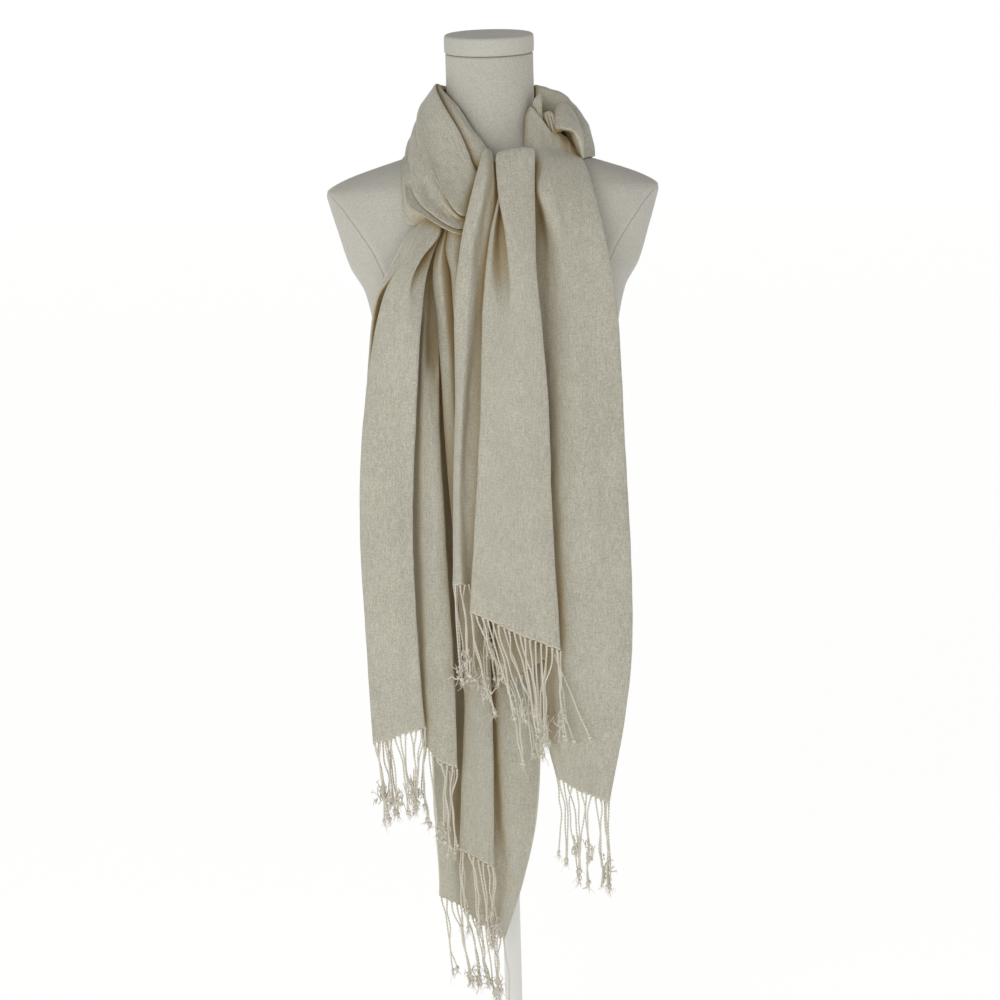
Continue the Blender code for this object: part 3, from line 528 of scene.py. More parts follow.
class Cloth:
    """A stretch of the shawl while it is shaped: a grid of points, its rows running across."""

    def __init__(self, fold_lines, cell_along=CELL_ALONG, cell_across=CELL_ACROSS):
        lines = np.array([[tuple(point) for point in line] for line in fold_lines]) * MM
        down = lines.transpose(1, 0, 2)
        self.points = spline(down, steps_for(down, cell_along))
        across = self.points.transpose(1, 0, 2)
        self.points = spline(across, steps_for(across, cell_across)).transpose(1, 0, 2)
        self.across = run_along(self.points.transpose(1, 0, 2))
        self.along = run_along(self.points)

    def directions(self):
        """Unit vectors at each point: across the cloth, and out of its face."""
        along, across = np.gradient(self.points, axis=(0, 1))
        out = unit(np.cross(along, across))
        away = self.points * (1.0, 1.0, 0.0)
        if (out * away).sum() < 0.0:
            out = -out
        return unit(across), out

    def place(self, point):
        """Where a point lies on the flat cloth: given as (x, z) from the front, or (x, y, z)."""
        point = np.array(point) * MM
        if len(point) == 2:
            gap = ((self.points[..., (0, 2)] - point) ** 2).sum(axis=-1)
            gap += np.where(self.directions()[1][..., 1] < TURNED_AWAY, 0.0, 1.0)
            gap += FRONT_FIRST * (self.points[..., 1] - self.points[..., 1].min())
        else:
            gap = ((self.points - point) ** 2).sum(axis=-1)
        row, column = np.unravel_index(gap.argmin(), gap.shape)
        return self.along[row], self.across[column]

    def beside(self, path):
        """Each point's flat distance from a path across the cloth, and its strength by the ends."""
        places = np.array(sorted(self.place(point) for point in path))
        line = np.interp(self.along, places[:, 0], places[:, 1])
        line = np.convolve(np.pad(line, PATH_SMOOTHING // 2, mode="edge"),
                           np.ones(PATH_SMOOTHING) / PATH_SMOOTHING, mode="valid")
        start, end = places[0, 0], places[-1, 0]
        length = max(end - start, 10 * MM)
        inside, past = FADE_INSIDE * length, FADE_PAST * length
        ends = (fade(self.along, start - past, start + inside)
                * fade(self.along, end + past, end - inside))
        return self.across[None, :] - line[:, None], ends[:, None]

    def fold(self, *folds):
        """Shapes lips and creases, one after another."""
        for item in folds:
            gap, strength = self.beside(item.path)
            across, out = self.directions()
            x = gap / (item.width * MM)
            if isinstance(item, Lip):
                rise = -item.height * MM * np.tanh(x / LIP_TURN) * np.exp(-np.abs(x) ** 1.5)
                shift = item.lap * MM * np.exp(-(x / LIP_LAP) ** 2)
                self.points += across * (shift * strength)[..., None]
            else:
                rise = -item.depth * MM * np.exp(-x ** 2)
            self.points += out * (rise * strength)[..., None]
        return self

    def ripple(self, seed, amount, across, along, waves=9):
        """Uneven soft waves, of these mean lengths across and along the cloth, in millimetres."""
        random = np.random.default_rng(seed)
        u, v = self.across[None, :], self.along[:, None]
        height = np.zeros(self.points.shape[:2])
        for _ in range(waves):
            long_u = across * MM * random.uniform(*WAVE_SPREAD) * random.choice((-1, 1))
            long_v = along * MM * random.uniform(*WAVE_SPREAD)
            height += np.sin(2 * math.pi * (u / long_u + v / long_v + random.uniform()))
        height *= amount * MM / math.sqrt(waves / 2)
        self.points += self.directions()[1] * height[..., None]
        return self

    def scallop(self, seed, pitch, depth):
        """Draws the hem down unevenly where each cord of its fringe leaves it."""
        cords = max(int(self.across[-1] / pitch), 2)
        place = self.across / self.across[-1] * cords
        shares = np.random.default_rng(seed).uniform(0.25, 1.0, cords + 1)[place.astype(int)]
        pulled = (0.5 - 0.5 * np.cos(2 * math.pi * place)) * shares * depth
        strength = np.exp((self.along - self.along[-1]) / PULL_REACH)
        self.points[..., 2] -= strength[:, None] * pulled
        return self

    def clear_form(self):
        """Moves each point that is too near the form out of it."""
        for index in np.ndindex(self.points.shape[:2]):
            point = Vector(self.points[index])
            near, normal, _, _ = form_surface.find_nearest(point, CLEARANCE_SEARCH)
            if near is not None:
                depth = (point - near).dot(normal)
                if depth < CLOTH_CLEARANCE:
                    self.points[index] = point + normal * (CLOTH_CLEARANCE - depth)
        return self

    def piece(self, name, *nodes):
        """The shell, as a piece that replaces the frame's nodes. It prints its flat size."""
        rows, columns = self.points.shape[:2]
        faces = [(row * columns + i, (row + 1) * columns + i, (row + 1) * columns + i + 1,
                  row * columns + i + 1) for row in range(rows - 1) for i in range(columns - 1)]
        from_side = np.minimum(self.across, self.across[-1] - self.across)
        from_hem = self.along[-1] - self.along
        inset = np.minimum(from_side[None, :], from_hem[:, None])
        lie = np.stack(np.broadcast_arrays(self.across[None, :], self.along[:, None], inset),
                       axis=-1)
        mesh = mesh_of(name, self.points.reshape(-1, 3), faces, lie.reshape(-1, 3))
        item = add_piece(mesh, cream_twill, "cream_twill", *nodes)
        wall = item.modifiers.new("wall", "SOLIDIFY")
        wall.thickness = CLOTH_THICKNESS
        wall.offset = 0.0
        print(f"cloth {name}: {self.across[-1]:.3f} x {self.along[-1]:.3f} m, {rows} x {columns}")
        return item


# The neck loop's folds, from the edge against the neck to the outer one. Three columns are its
# distance out from the neck's axis and its height: at the right side, the nape and the left
# side. The others are points: the right end, the left shoulder, the breast, the bend over the
# left tail, the knot, and the stretch tucked in under the centre tails, to its end. Where one
# band laps over the next, the line named under it is where the cloth turns back behind its edge.
LoopFold = namedtuple("LoopFold",
                      "name right_end right nape left shoulder breast bend knot tuck end")
LOOP_BULGE = 2.5                # extra reach half way between those three places
RIGHT_BEARING = 2               # degrees, counted from the right side round the back
LEFT_BEARING = 178
NECK_LOOP = (
    LoopFold("edge at the neck", (54, -2, 1353), (53.5, 1384), (59, 1390), (57, 1387),
             (-38.5, -46, 1364.5), (-22, -66, 1338), (-13, -73, 1326), (-4, -80, 1311),
             (8, -75, 1292), (32, -73, 1288)),
    LoopFold("inner strip", (59, -2, 1348), (58, 1386), (65, 1393), (61.5, 1392), (-48, -47, 1371),
             (-30, -72, 1342), (-19, -80, 1323), (-9, -86, 1304), (4, -79, 1286), (32, -76, 1282)),
    LoopFold("strip under the band", (65, -3, 1343), (64, 1385), (71, 1391), (65, 1390),
             (-62, -41, 1364), (-44, -66, 1334), (-33, -77, 1312), (-22, -86, 1291),
             (-4, -80, 1278), (32, -77, 1277)),
    LoopFold("edge of the band", (70, -4, 1341), (70, 1384), (76, 1391), (66, 1393.5),
             (-59, -50, 1373), (-38, -77, 1336), (-28, -88, 1312), (-19, -94, 1289),
             (-1, -84, 1275), (32, -79, 1272)),
    LoopFold("face of the band", (77, -4, 1338), (80, 1380), (84, 1386), (71.5, 1388),
             (-68, -54, 1360), (-52, -83, 1318), (-41, -95, 1296), (-28, -104, 1268),
             (-4, -90, 1262), (32, -84, 1262)),
    LoopFold("slack of the band", (84, -5, 1336), (88, 1377), (90, 1378), (79, 1378),
             (-78, -54, 1346), (-66, -86, 1303), (-54, -100, 1280), (-35, -112, 1252),
             (-7, -94, 1252), (31, -88, 1254)),
    LoopFold("band's lower edge", (89, -8, 1333), (96, 1372), (95, 1368), (86, 1367),
             (-88, -58, 1328), (-75, -92, 1297), (-63, -106, 1273), (-38, -119, 1238),
             (-9, -98, 1243), (31, -91, 1247)),
    LoopFold("under the band", (92, -14, 1328), (100, 1367), (96, 1360), (82, 1356),
             (-81, -45, 1334), (-69, -79, 1305), (-58, -96, 1280), (-37, -109, 1243),
             (-9, -95, 1240), (31, -90, 1244)),
    LoopFold("middle fold", (95, -28, 1320), (106, 1361), (102, 1352), (90, 1352), (-94, -48, 1311),
             (-83, -84, 1275), (-69, -102, 1256), (-40, -115, 1232), (-10, -98, 1236),
             (30, -92, 1241)),
    LoopFold("rolled edge", (98, -38, 1314), (112, 1354), (107, 1342), (95, 1343),
             (-101, -50, 1293), (-92, -91, 1261), (-77, -110, 1243.5), (-41, -123, 1222),
             (-10, -101, 1231), (29, -94, 1237)),
    LoopFold("under the rolled edge", (100, -44, 1310), (115, 1348), (110, 1332), (97, 1335),
             (-97, -44, 1296), (-86, -82, 1266), (-72, -100, 1249), (-41, -112, 1226),
             (-10, -98, 1228), (28, -93, 1234)),
    LoopFold("lower roll", (101, -47, 1307), (119, 1340), (114, 1320), (101, 1327),
             (-103, -51, 1289), (-97, -92, 1256.5), (-82, -109, 1242), (-41, -119, 1219.5),
             (-10, -101, 1224), (27, -94, 1230)),
    LoopFold("lower edge", (103, -50, 1302), (122.5, 1329), (117, 1303), (103, 1317),
             (-105, -56, 1286), (-101, -97, 1250.5), (-86, -112, 1240.5), (-42, -121, 1216),
             (-10, -103, 1219), (26, -96, 1226)),
    LoopFold("inside of the curl", (104, -51, 1299), (125, 1317), (117, 1290), (104, 1310),
             (-107, -55, 1283), (-104, -81, 1247), (-86, -92, 1240), (-44, -98, 1222),
             (-10, -98, 1214), (25, -93, 1221)),
    LoopFold("outer edge", (105, -52, 1297), (126, 1303), (114, 1270), (103, 1305),
             (-106, -52, 1280), (-102, -86, 1229), (-84, -89, 1226), (-46, -94, 1215),
             (-10, -95, 1210), (25, -90, 1216)),
)
LOOP_FOLDS = (
    Lip("gather by the knot", 3.2, 2.6, 2.2, ((-64, 1254), (-56, 1247), (-47, 1240), (-38, 1233))),
    Crease("valley by the rolled edge", 4, 2.2,
           ((-84, 1281), (-75, 1262), (-66, 1250), (-57, 1241), (-49, 1235))),
    Crease("slack of the band", 12, 1.6, ((-70, 1352), (-58, 1322), (-46, 1294), (-33, 1268))),
    Crease("upper fold at the nape", 7, 3.2,
           ((82, 22, 1373), (64, 60, 1377), (20, 88, 1380), (-30, 84, 1373), (-66, 54, 1364))),
    Crease("long fold at the nape", 9, 4.0,
           ((100, 18, 1350), (78, 66, 1352), (18, 102, 1349), (-40, 93, 1341), (-84, 36, 1334))),
    Crease("short fold at the nape", 8, 3.0, ((62, 88, 1326), (4, 110, 1331), (-46, 95, 1322))),
    Crease("low fold at the nape", 10, 3.4, ((98, 50, 1304), (52, 98, 1296), (0, 114, 1299))),
    Crease("fold behind the left shoulder", 7, 3.0,
           ((-52, 96, 1300), (-82, 60, 1312), (-98, 10, 1320))),
    Crease("inner strip", 3, 1.2, ((-47, 1376), (-35, 1354), (-23, 1331), (-14, 1312))),
)


def around(side, height, degrees):
    """A point of the neck loop this far out from the axis, at a bearing from the right side."""
    angle = math.radians(degrees)
    return (side * math.cos(angle), side * math.sin(angle), height)


def loop_lines():
    """The points that each fold of the neck loop passes, from its right end round the nape."""
    lines = []
    for fold in NECK_LOOP:
        (right, right_up), (nape, nape_up), (left, left_up) = fold.right, fold.nape, fold.left
        lines.append([
            fold.right_end,
            around(right, right_up, RIGHT_BEARING),
            around((right + nape) / 2 + LOOP_BULGE, (right_up + nape_up) / 2, 45),
            around(nape, nape_up, 90),
            around((left + nape) / 2 + LOOP_BULGE, (left_up + nape_up) / 2, 135),
            around(left, left_up, LEFT_BEARING),
            fold.shoulder, fold.breast, fold.bend, fold.knot, fold.tuck, fold.end,
        ])
    return lines


cream_twill = twill()
loop = Cloth(loop_lines(), cell_along=3.2 * MM, cell_across=1.5 * MM).fold(*LOOP_FOLDS)
loop.ripple(seed=3, amount=0.35, across=40, along=170).clear_form()
neck_wrap = loop.piece("neck_wrap", "neck_loop")


# ---- The bight on the right shoulder -----------------------------------------------------------
# The fold that the ends were pulled through: a soft roll of the same twill, open at its front
# lip, and the twisted bit of selvedge that shows between it and the flap.

RollFold = namedtuple("RollFold", "name nape top back side low tip")
SHOULDER_ROLL = (
    RollFold("under the roll", (85, -16, 1370), (92, -21, 1366), (101, -28, 1355), (107, -38, 1340),
             (109.5, -47, 1324), (109, -52, 1303)),
    RollFold("outer side", (82, -22, 1368), (88, -31, 1366), (99, -44, 1352), (107, -56, 1336),
             (110, -62, 1320), (109.5, -62, 1302)),
    RollFold("crest", (78, -27, 1362), (82, -44, 1357), (92, -60, 1347), (103, -68, 1335),
             (107, -72, 1321), (109.5, -67, 1301)),
    RollFold("mouth", (75, -32, 1353), (77, -54, 1337), (87, -68, 1337), (99, -74, 1333),
             (103, -74, 1323), (108.5, -67, 1301)),
    RollFold("lip turned in", (75, -26, 1344), (79, -36, 1331), (87, -42, 1334), (95, -46, 1331),
             (98, -50, 1322), (105, -56, 1303)),
)
# The twisted folds beside it, and the corner of the cloth that stands up behind them.
TwistFold = namedtuple("TwistFold", "name nape top middle end")
SHOULDER_TWIST = (
    TwistFold("left side", (61, -24, 1344), (61.5, -36, 1351), (64.5, -43, 1342), (69, -46, 1329)),
    TwistFold("left cord", (63.5, -25, 1348), (64.5, -41, 1355), (68, -48, 1344), (72, -51, 1329)),
    TwistFold("middle cord", (68.5, -26, 1349), (69.5, -42.5, 1357), (72, -49.5, 1345),
              (75.5, -52, 1329)),
    TwistFold("right cord", (73.5, -25, 1348), (74.5, -41, 1355), (76.5, -48, 1344),
              (78.5, -51, 1328.5)),
    TwistFold("right side", (77, -20, 1343), (78.5, -33, 1350), (80, -39, 1341), (81, -43, 1328)),
)
TWIST_GROOVES = (
    Crease("groove by the left cord", 1.1, 2.2, ((66, 1356), (69, 1346), (73, 1331))),
    Crease("groove by the right cord", 1.0, 2.0, ((71.5, 1357), (74, 1346), (77, 1331))),
)
SHOULDER_FLAP = (
    TwistFold("fold", (59, -31, 1379), (53, -35, 1372), (50.5, -38, 1362), (50, -42, 1350)),
    TwistFold("face", (60, -32, 1380), (57, -38, 1370), (56, -42, 1360), (57, -46, 1346)),
    TwistFold("corner", (61, -31, 1379), (61.5, -37, 1369), (61.5, -41, 1357), (63, -44, 1343)),
    TwistFold("turned back", (59.5, -26, 1374), (60, -30, 1364), (61, -34, 1354), (63, -40, 1341)),
)

roll = Cloth([fold[1:] for fold in SHOULDER_ROLL], cell_along=2.4 * MM, cell_across=1.5 * MM)
roll.ripple(seed=5, amount=0.25, across=18, along=60)
shoulder_roll = roll.piece("shoulder_roll", "right_roll")
twist = Cloth([fold[1:] for fold in SHOULDER_TWIST], cell_along=1.6 * MM, cell_across=0.6 * MM)
shoulder_twist = twist.fold(*TWIST_GROOVES).piece("shoulder_twist", "right_twist")
flap = Cloth([fold[1:] for fold in SHOULDER_FLAP], cell_along=2.0 * MM, cell_across=1.5 * MM)
shoulder_flap = flap.piece("shoulder_flap", "right_tail")


# ---- The tails ---------------------------------------------------------------------------------
# The shawl's two ends, brought to the front and let fall in deep soft folds over one another,
# each stretch with a selvedge down its side and a raw hem held by its knotted fringe.

# A hanging stretch of cloth is a row of folds from its left edge to its right one. Each fold
# line starts at one to three points under the wrap, passes the panel's levels, and ends at the
# hem. x and y are its places at those levels.
Panel = namedtuple("Panel", "levels folds")
Fold = namedtuple("Fold", "name start x y hem")
SLACK_WAVES = {"amount": 0.5, "across": 36, "along": 300}
FINE_WAVES = {"amount": 0.10, "across": 14, "along": 60}
FINE_SEED = 50                  # added to a tail's seed for its fine waves

RIGHT_TAIL = Panel((1298, 1262, 1235, 1200, 1130, 950, 720, 620), (
    Fold("edge turned to the neck", ((48, -32, 1364), (43, -37, 1354), (41.5, -46, 1337)),
         (38, 30, 28, 28, 26, 28, 38, 45), (-70, -93, -97, -98, -108, -114, -114, -111),
         (58, -111, 556)),
    Fold("flap edge", ((50.5, -44, 1362.5), (47, -48, 1352), (45.5, -59, 1337)),
         (46, 39, 38, 38, 36, 38, 45, 49), (-80, -103, -104, -105, -118, -124, -124, -118),
         (61, -118, 554)),
    Fold("hollow beside the centre", ((60, -51, 1350), (57.5, -55, 1342), (56, -66, 1326)),
         (55, 51, 55, 58, 55, 53, 55, 57), (-90, -112, -102, -108, -117, -123, -127, -122),
         (67, -122, 551)),
    Fold("edge beside the hollow", ((66, -54, 1341), (65, -57, 1334), (64, -67, 1319)),
         (62, 56, 61.5, 66, 65, 63, 62, 63), (-93, -118, -120, -118, -122, -129, -131, -126),
         (71, -126, 549)),
    Fold("left ridge", ((72, -55, 1333.5), (71.5, -58, 1328), (71, -68, 1314)),
         (71, 70, 73, 77, 77, 74, 72, 72), (-91, -118, -124, -125, -129, -135, -136, -130),
         (77, -129, 545)),
    Fold("broad front", ((82, -40, 1332), (83, -51, 1328), (84, -65, 1312)),
         (85, 84, 86, 89, 92, 95, 93, 88), (-84, -109, -117, -122, -131, -138, -136, -129),
         (87, -129, 540)),
    Fold("right front", ((89, -38, 1327), (92, -50, 1322), (96, -62, 1308)),
         (101, 103, 106, 109, 115, 122, 124, 114), (-77, -101, -110, -115, -124, -129, -129, -126),
         (104, -125, 531)),
    Fold("right edge", ((94, -42, 1319), (98, -52, 1312), (105, -58, 1301)),
         (109, 120, 126, 133, 143, 150, 154, 142), (-67, -93, -102, -107, -115, -120, -122, -120),
         (122, -121, 522)),
    Fold("edge turned under", ((93, -38, 1317), (96, -45, 1311), (101, -50, 1299)),
         (104, 113, 119, 126, 136, 143, 147, 136), (-58, -85, -94, -98, -105, -111, -113, -111),
         (116, -112, 525)),
))

CENTRE_FRONT = Panel((1270, 1215, 1175, 1120, 1020, 900), (
    Fold("left edge turned back", ((8, -81, 1292), (7, -87, 1300)), (11, 4, -1, -6, -14, -24),
         (-102, -115, -123, -132, -140, -144), (-36, -145, 767)),
    Fold("left edge", ((10, -85, 1297), (5.5, -93, 1305)), (8, -4, -9.5, -15, -21, -29),
         (-112, -128, -136, -143, -150, -152), (-40, -151, 768)),
    Fold("left flap", ((12, -85, 1298), (6, -95, 1307)), (9.5, -1, -4, -1, -9, -16),
         (-113, -130, -138, -148, -155, -156), (-29, -155, 764)),
    Fold("pleat floor", ((15, -85, 1298), (8, -96, 1308)), (12, 7, 7.5, 7, -1, -8),
         (-106, -118, -127, -150, -156, -157), (-18, -157, 759)),
    Fold("pleat turn", ((19, -85, 1298), (11, -98, 1309)), (18, 20, 19, 13, 6, 4),
         (-108, -121, -131, -150, -157, -157), (-4, -158, 752)),
    Fold("strip edge", ((21, -86, 1298), (7, -102, 1309)), (6.5, 14, 17.5, 18, 16, 17),
         (-118, -138, -147, -154, -158, -158), (12, -158, 744)),
    Fold("strip middle", ((31, -86, 1300), (26, -103, 1314)), (28, 31, 34, 32, 35, 35),
         (-122, -142, -151, -157, -159, -159), (32, -159, 735)),
    Fold("right edge", ((39, -87, 1299), (48.5, -100, 1313)), (49.5, 49, 48.5, 52, 58, 60),
         (-116, -135, -144, -150, -153, -153), (66, -152, 719)),
    Fold("right edge turned under", ((43, -85, 1297), (48, -91, 1304)), (43, 41, 42, 45, 50, 51),
         (-104, -122, -131, -137, -140, -140), (58, -136, 714)),
))

CENTRE_SIDE = Panel((1297, 1270, 1205, 1130, 1020, 900), (
    Fold("left edge turned under", ((-9, -93, 1303),), (-11, -17, -33, -42, -43, -50),
         (-101, -113, -127, -129, -130, -131), (-52, -131, 803)),
    Fold("left edge", ((-11, -97, 1311),), (-15, -23, -39, -48.5, -50, -57),
         (-107, -119, -135, -138, -139, -139), (-60, -139, 803)),
    Fold("ridge", ((-6, -99, 1315),), (-7, -11, -25, -33, -43, -50),
         (-114, -126, -141, -145, -145, -144), (-51, -144, 801)),
    Fold("shade line", ((-2, -97, 1313),), (0, -3, -15, -21, -34, -41),
         (-106, -114, -126, -131, -134, -136), (-40, -134, 800)),
    Fold("under the front", ((0, -94, 1308),), (2, 4, -2, -7, -15, -21),
         (-102, -109, -120, -126, -131, -133), (-23, -131, 798)),
    Fold("hidden edge", ((1, -90, 1302),), (4, 12, 9, 7, 3, -1), (-93, -97, -109, -116, -124, -127),
         (-5, -130, 796)),
))

CENTRE_INNER = Panel((900, 780), (
    Fold("left edge", ((-14, -116, 1050),), (-17, -14), (-124, -129), (-3, -130, 677)),
    Fold("first ridge", ((-4, -120, 1050),), (-8, -4), (-129, -134), (10, -136, 683)),
    Fold("first valley", ((6, -116, 1050),), (4, 9), (-124, -129), (24, -131, 691)),
    Fold("second ridge", ((17, -119, 1050),), (17, 23), (-129, -134), (39, -137, 701)),
    Fold("right edge", ((27, -115, 1050),), (30, 37), (-124, -129), (52, -130, 708)),
))

LEFT_FRONT = Panel((1212, 1190, 1165, 1140, 1070, 980, 850, 720), (
    Fold("outer side", ((-80, -93, 1236),), (-106, -118, -132, -143, -153.5, -159, -162, -159),
         (-97, -99, -97, -90, -91, -97, -104, -103), (-151, -96, 608)),
    Fold("outer ridge", ((-78.5, -95, 1236.5),),
         (-101, -112, -126, -141, -152.5, -157.5, -160, -157),
         (-105, -109, -110, -98, -98, -102, -106, -104), (-149, -97, 609)),
    Fold("slit depth", ((-76, -96, 1237),), (-96, -106, -119, -126, -138, -147, -148, -145),
         (-110, -114, -111, -82, -84, -97, -108, -106), (-140, -103, 613)),
    Fold("left edge", ((-73.5, -97, 1237),), (-91, -103, -121, -132, -150, -163, -169, -166),
         (-114, -119, -122, -124, -127, -128, -128, -126), (-162, -126, 605)),
    Fold("left ridge", ((-69, -99, 1236),), (-84, -96, -109, -115, -131, -144, -149, -146),
         (-117, -126, -131, -134, -136, -137, -137, -135), (-142, -135, 612)),
    Fold("turned edge", ((-59, -102, 1233),), (-67, -86, -99, -104, -115, -124, -128, -126),
         (-118, -129, -137, -139, -140, -140, -140, -139), (-121, -139, 620)),
    Fold("behind the turned edge", ((-62, -97, 1231),),
         (-72, -94, -99, -99, -106, -114, -117, -116),
         (-101, -106, -125, -136.5, -139, -139, -139, -139), (-112, -139, 622)),
    Fold("right edge", ((-58, -99, 1229),), (-65, -74, -81, -85, -94, -101, -105, -105),
         (-106, -111, -121, -129, -137, -139, -139, -139), (-100, -139, 626)),
    Fold("right edge turned under", ((-58, -95, 1227),),
         (-68, -79, -87, -92, -99, -106, -110, -111),
         (-102, -106, -113, -119, -127, -129, -129, -129), (-100, -126, 625)),
))

LEFT_SECOND = Panel((1165, 1125, 1075, 1045, 980, 850, 720), (
    Fold("hidden edge", ((-80, -90, 1222), (-82, -91, 1195)),
         (-86, -93, -98, -100, -104, -108, -108), (-91, -91, -96, -102, -105, -106, -106),
         (-103, -106, 603)),
    Fold("left ridge", ((-75, -91, 1224), (-78, -93, 1195)), (-82, -84, -88, -90, -94, -97, -97),
         (-92, -96, -110, -118, -124, -125, -125), (-99, -124, 600)),
    Fold("pocket", ((-69, -92, 1226), (-73, -93, 1195)), (-76, -78, -81, -83, -86, -88, -87),
         (-91, -91, -98, -117, -126, -127, -127), (-88, -127, 587)),
    Fold("front", ((-63, -93, 1228), (-68, -95, 1195)), (-72, -74, -75, -76, -79, -78, -75),
         (-91, -91, -95, -113, -126, -128, -128), (-76, -128, 578)),
    Fold("right edge", ((-54, -94, 1228), (-59, -95, 1195)),
         (-64, -66, -69.5, -70, -71, -67.5, -63), (-91, -92, -97, -109, -121, -123, -123),
         (-62, -123, 571)),
    Fold("right edge turned under", ((-53, -92, 1226), (-58, -92, 1195)),
         (-66, -70, -75, -76, -77, -75, -70), (-89, -89, -92, -99, -109, -111, -111),
         (-73, -112, 567)),
))

LEFT_THIRD = Panel((1198, 1170, 1120, 1050, 950, 800, 650), (
    Fold("hidden edge", ((-61, -95, 1222),), (-64, -66, -65, -61, -57, -49, -45),
         (-97, -98, -98, -98, -98, -95, -93), (-56, -92, 467)),
    Fold("left edge", ((-57, -99, 1224),), (-68, -73.5, -70.5, -67.5, -63, -55.5, -50.5),
         (-103, -107, -110, -111, -110, -106, -104), (-62, -102, 463)),
    Fold("left face", ((-55, -102, 1226),), (-62, -65, -61, -57, -54, -49, -45),
         (-111, -117, -118, -117, -114, -110, -108), (-51, -105, 459)),
    Fold("crease", ((-51, -98, 1228),), (-53, -48, -45, -44, -44, -42, -39),
         (-98, -99, -104, -111, -113.5, -111, -108.5), (-40, -105, 452)),
    Fold("lip over the crease", ((-52, -103, 1231),), (-57.5, -52, -49, -43, -40, -38, -36),
         (-107, -112, -115, -116, -115, -112, -109), (-36, -106, 449)),
    Fold("right ridge", ((-44, -106, 1234),), (-49, -46, -42, -37, -33, -30, -28),
         (-115, -119, -120, -119, -116, -112, -109), (-29, -106, 445)),
    Fold("right edge", ((-36, -107, 1237),), (-37, -37, -34, -29, -25, -21, -18),
         (-113, -115, -117, -115, -113, -109, -104), (-20, -102, 438)),
    Fold("right edge turned back", ((-34, -102, 1232),), (-32, -32, -28, -24, -22, -22, -24),
         (-104, -106, -108, -106, -103, -97, -90), (-24, -89, 440)),
))

LEFT_REAR = Panel((1050, 850, 650, 500, 420), (
    Fold("left edge", ((-62, -92, 1160),), (-80, -84, -92, -92, -89), (-82, -78, -76, -74, -72),
         (-90, -72, 395)),
    Fold("left ridge", ((-54, -96, 1160),), (-66, -70, -76, -74, -71), (-86, -80, -80, -79, -79),
         (-70, -78, 388)),
    Fold("middle valley", ((-40, -99, 1160),), (-44, -50, -56, -54, -52), (-86, -77, -73, -71, -71),
         (-56, -71, 374)),
    Fold("middle ridge", ((-22, -101, 1160),), (-23, -30, -37, -36, -36), (-92, -84, -80, -80, -78),
         (-42, -76, 361)),
    Fold("right valley", ((-9, -99, 1160),), (-10, -13, -18, -16, -13), (-90, -82, -79, -77, -75),
         (-27, -72, 350)),
    Fold("right turn", ((-1, -101, 1160),), (-2, -6, -11.5, -7, -1), (-92, -88, -88, -87, -83),
         (-20, -77, 345)),
    Fold("right ridge", ((9, -102, 1160),), (12, 14, 11, 11, 8), (-93, -90, -91, -89, -84),
         (-15, -77, 342)),
    Fold("selvedge", ((22, -99, 1160),), (28, 36, 42, 35, 17), (-89, -86, -84, -81, -76),
         (-9, -72, 339)),
))


def panel_lines(panel):
    """The points that each fold of a hanging panel passes."""
    return [[*fold.start, *zip(fold.x, fold.y, panel.levels), fold.hem] for fold in panel.folds]


# ---- The fringe --------------------------------------------------------------------------------
# Warp ends left long at each hem, rolled by the pinch into two-ply cords about a hand's width
# long, each held by a small knot near its tip, below which the yarns fray out.

YARN_DARK = (0.56, 0.52, 0.42, 1.0)
YARN_LIGHT = (0.88, 0.84, 0.72, 1.0)
STRAND_PITCH = 7.2 * MM
HEM_DIP = 2.2 * MM              # how far a cord can draw the hem down
PLY_RADIUS = 0.62 * MM
PLY_TURN = 8.5 * MM             # length of one full twist of the two plies
RING_STEP = 2.0 * MM
KNOT_FROM_TIP = 9 * MM
KNOT_TURNS = 2.2
KNOT_SIZES = (1.6, 2.5)
TUFT_YARNS = 11
TUFT_LENGTHS = (3, 8.5)
MAT_YARNS = 16
MAT_WIDTHS = (5, 9)
MAT_DROPS = (10, 20)
MAT_CHANCE = 0.55               # share of the groups whose ends have felted together
GROUP_SIZES = (1, 1, 2, 2, 2, 3)
GROUP_LENGTHS = (0.84, 1.0)     # a group's length, as a share of its fringe's
GROUP_DRIFTS = (0.4, 1.5)       # its drift, as a share of its fringe's
GROUP_MEETS = (0.2, 0.6)        # share of the way down at which its cords are nearest
CORD_LENGTHS = (0.93, 1.0)      # a cord's length, as a share of its group's
CORD_CLINGS = (0.7, 1.0)        # how far it goes to meet the others
CORD_OPENS = (-0.7, 0.4)        # how far it goes back or on after that

# A fringe's cords have this mean length. They drift to the right on the way down, gather by a
# share of their distance from the hem's middle, and the last few stray farther to the right.
Fringe = namedtuple("Fringe", "name node seed length drift gather stray", defaults=(0,))


def yarn():
    """Twisted goat's wool yarn: the twill's cream, greyer, with a fine hairy nap."""
    wool = Finish("cream_yarn")
    place = wool.node("ShaderNodeTexCoord", {}, output="Object")
    fibre = wool.noise(place, 1500.0, 2.0, 0.6)
    broad = wool.noise(place, 60.0, 2.0)
    wool.surface(
        Base_Color=wool.mix(0.6 * fibre + 0.4 * broad, YARN_DARK, YARN_LIGHT),
        Roughness=0.88, Sheen_Weight=0.3, Sheen_Roughness=0.5,
        Normal=wool.relief(0.5, 0.0002, fibre))
    return wool.data


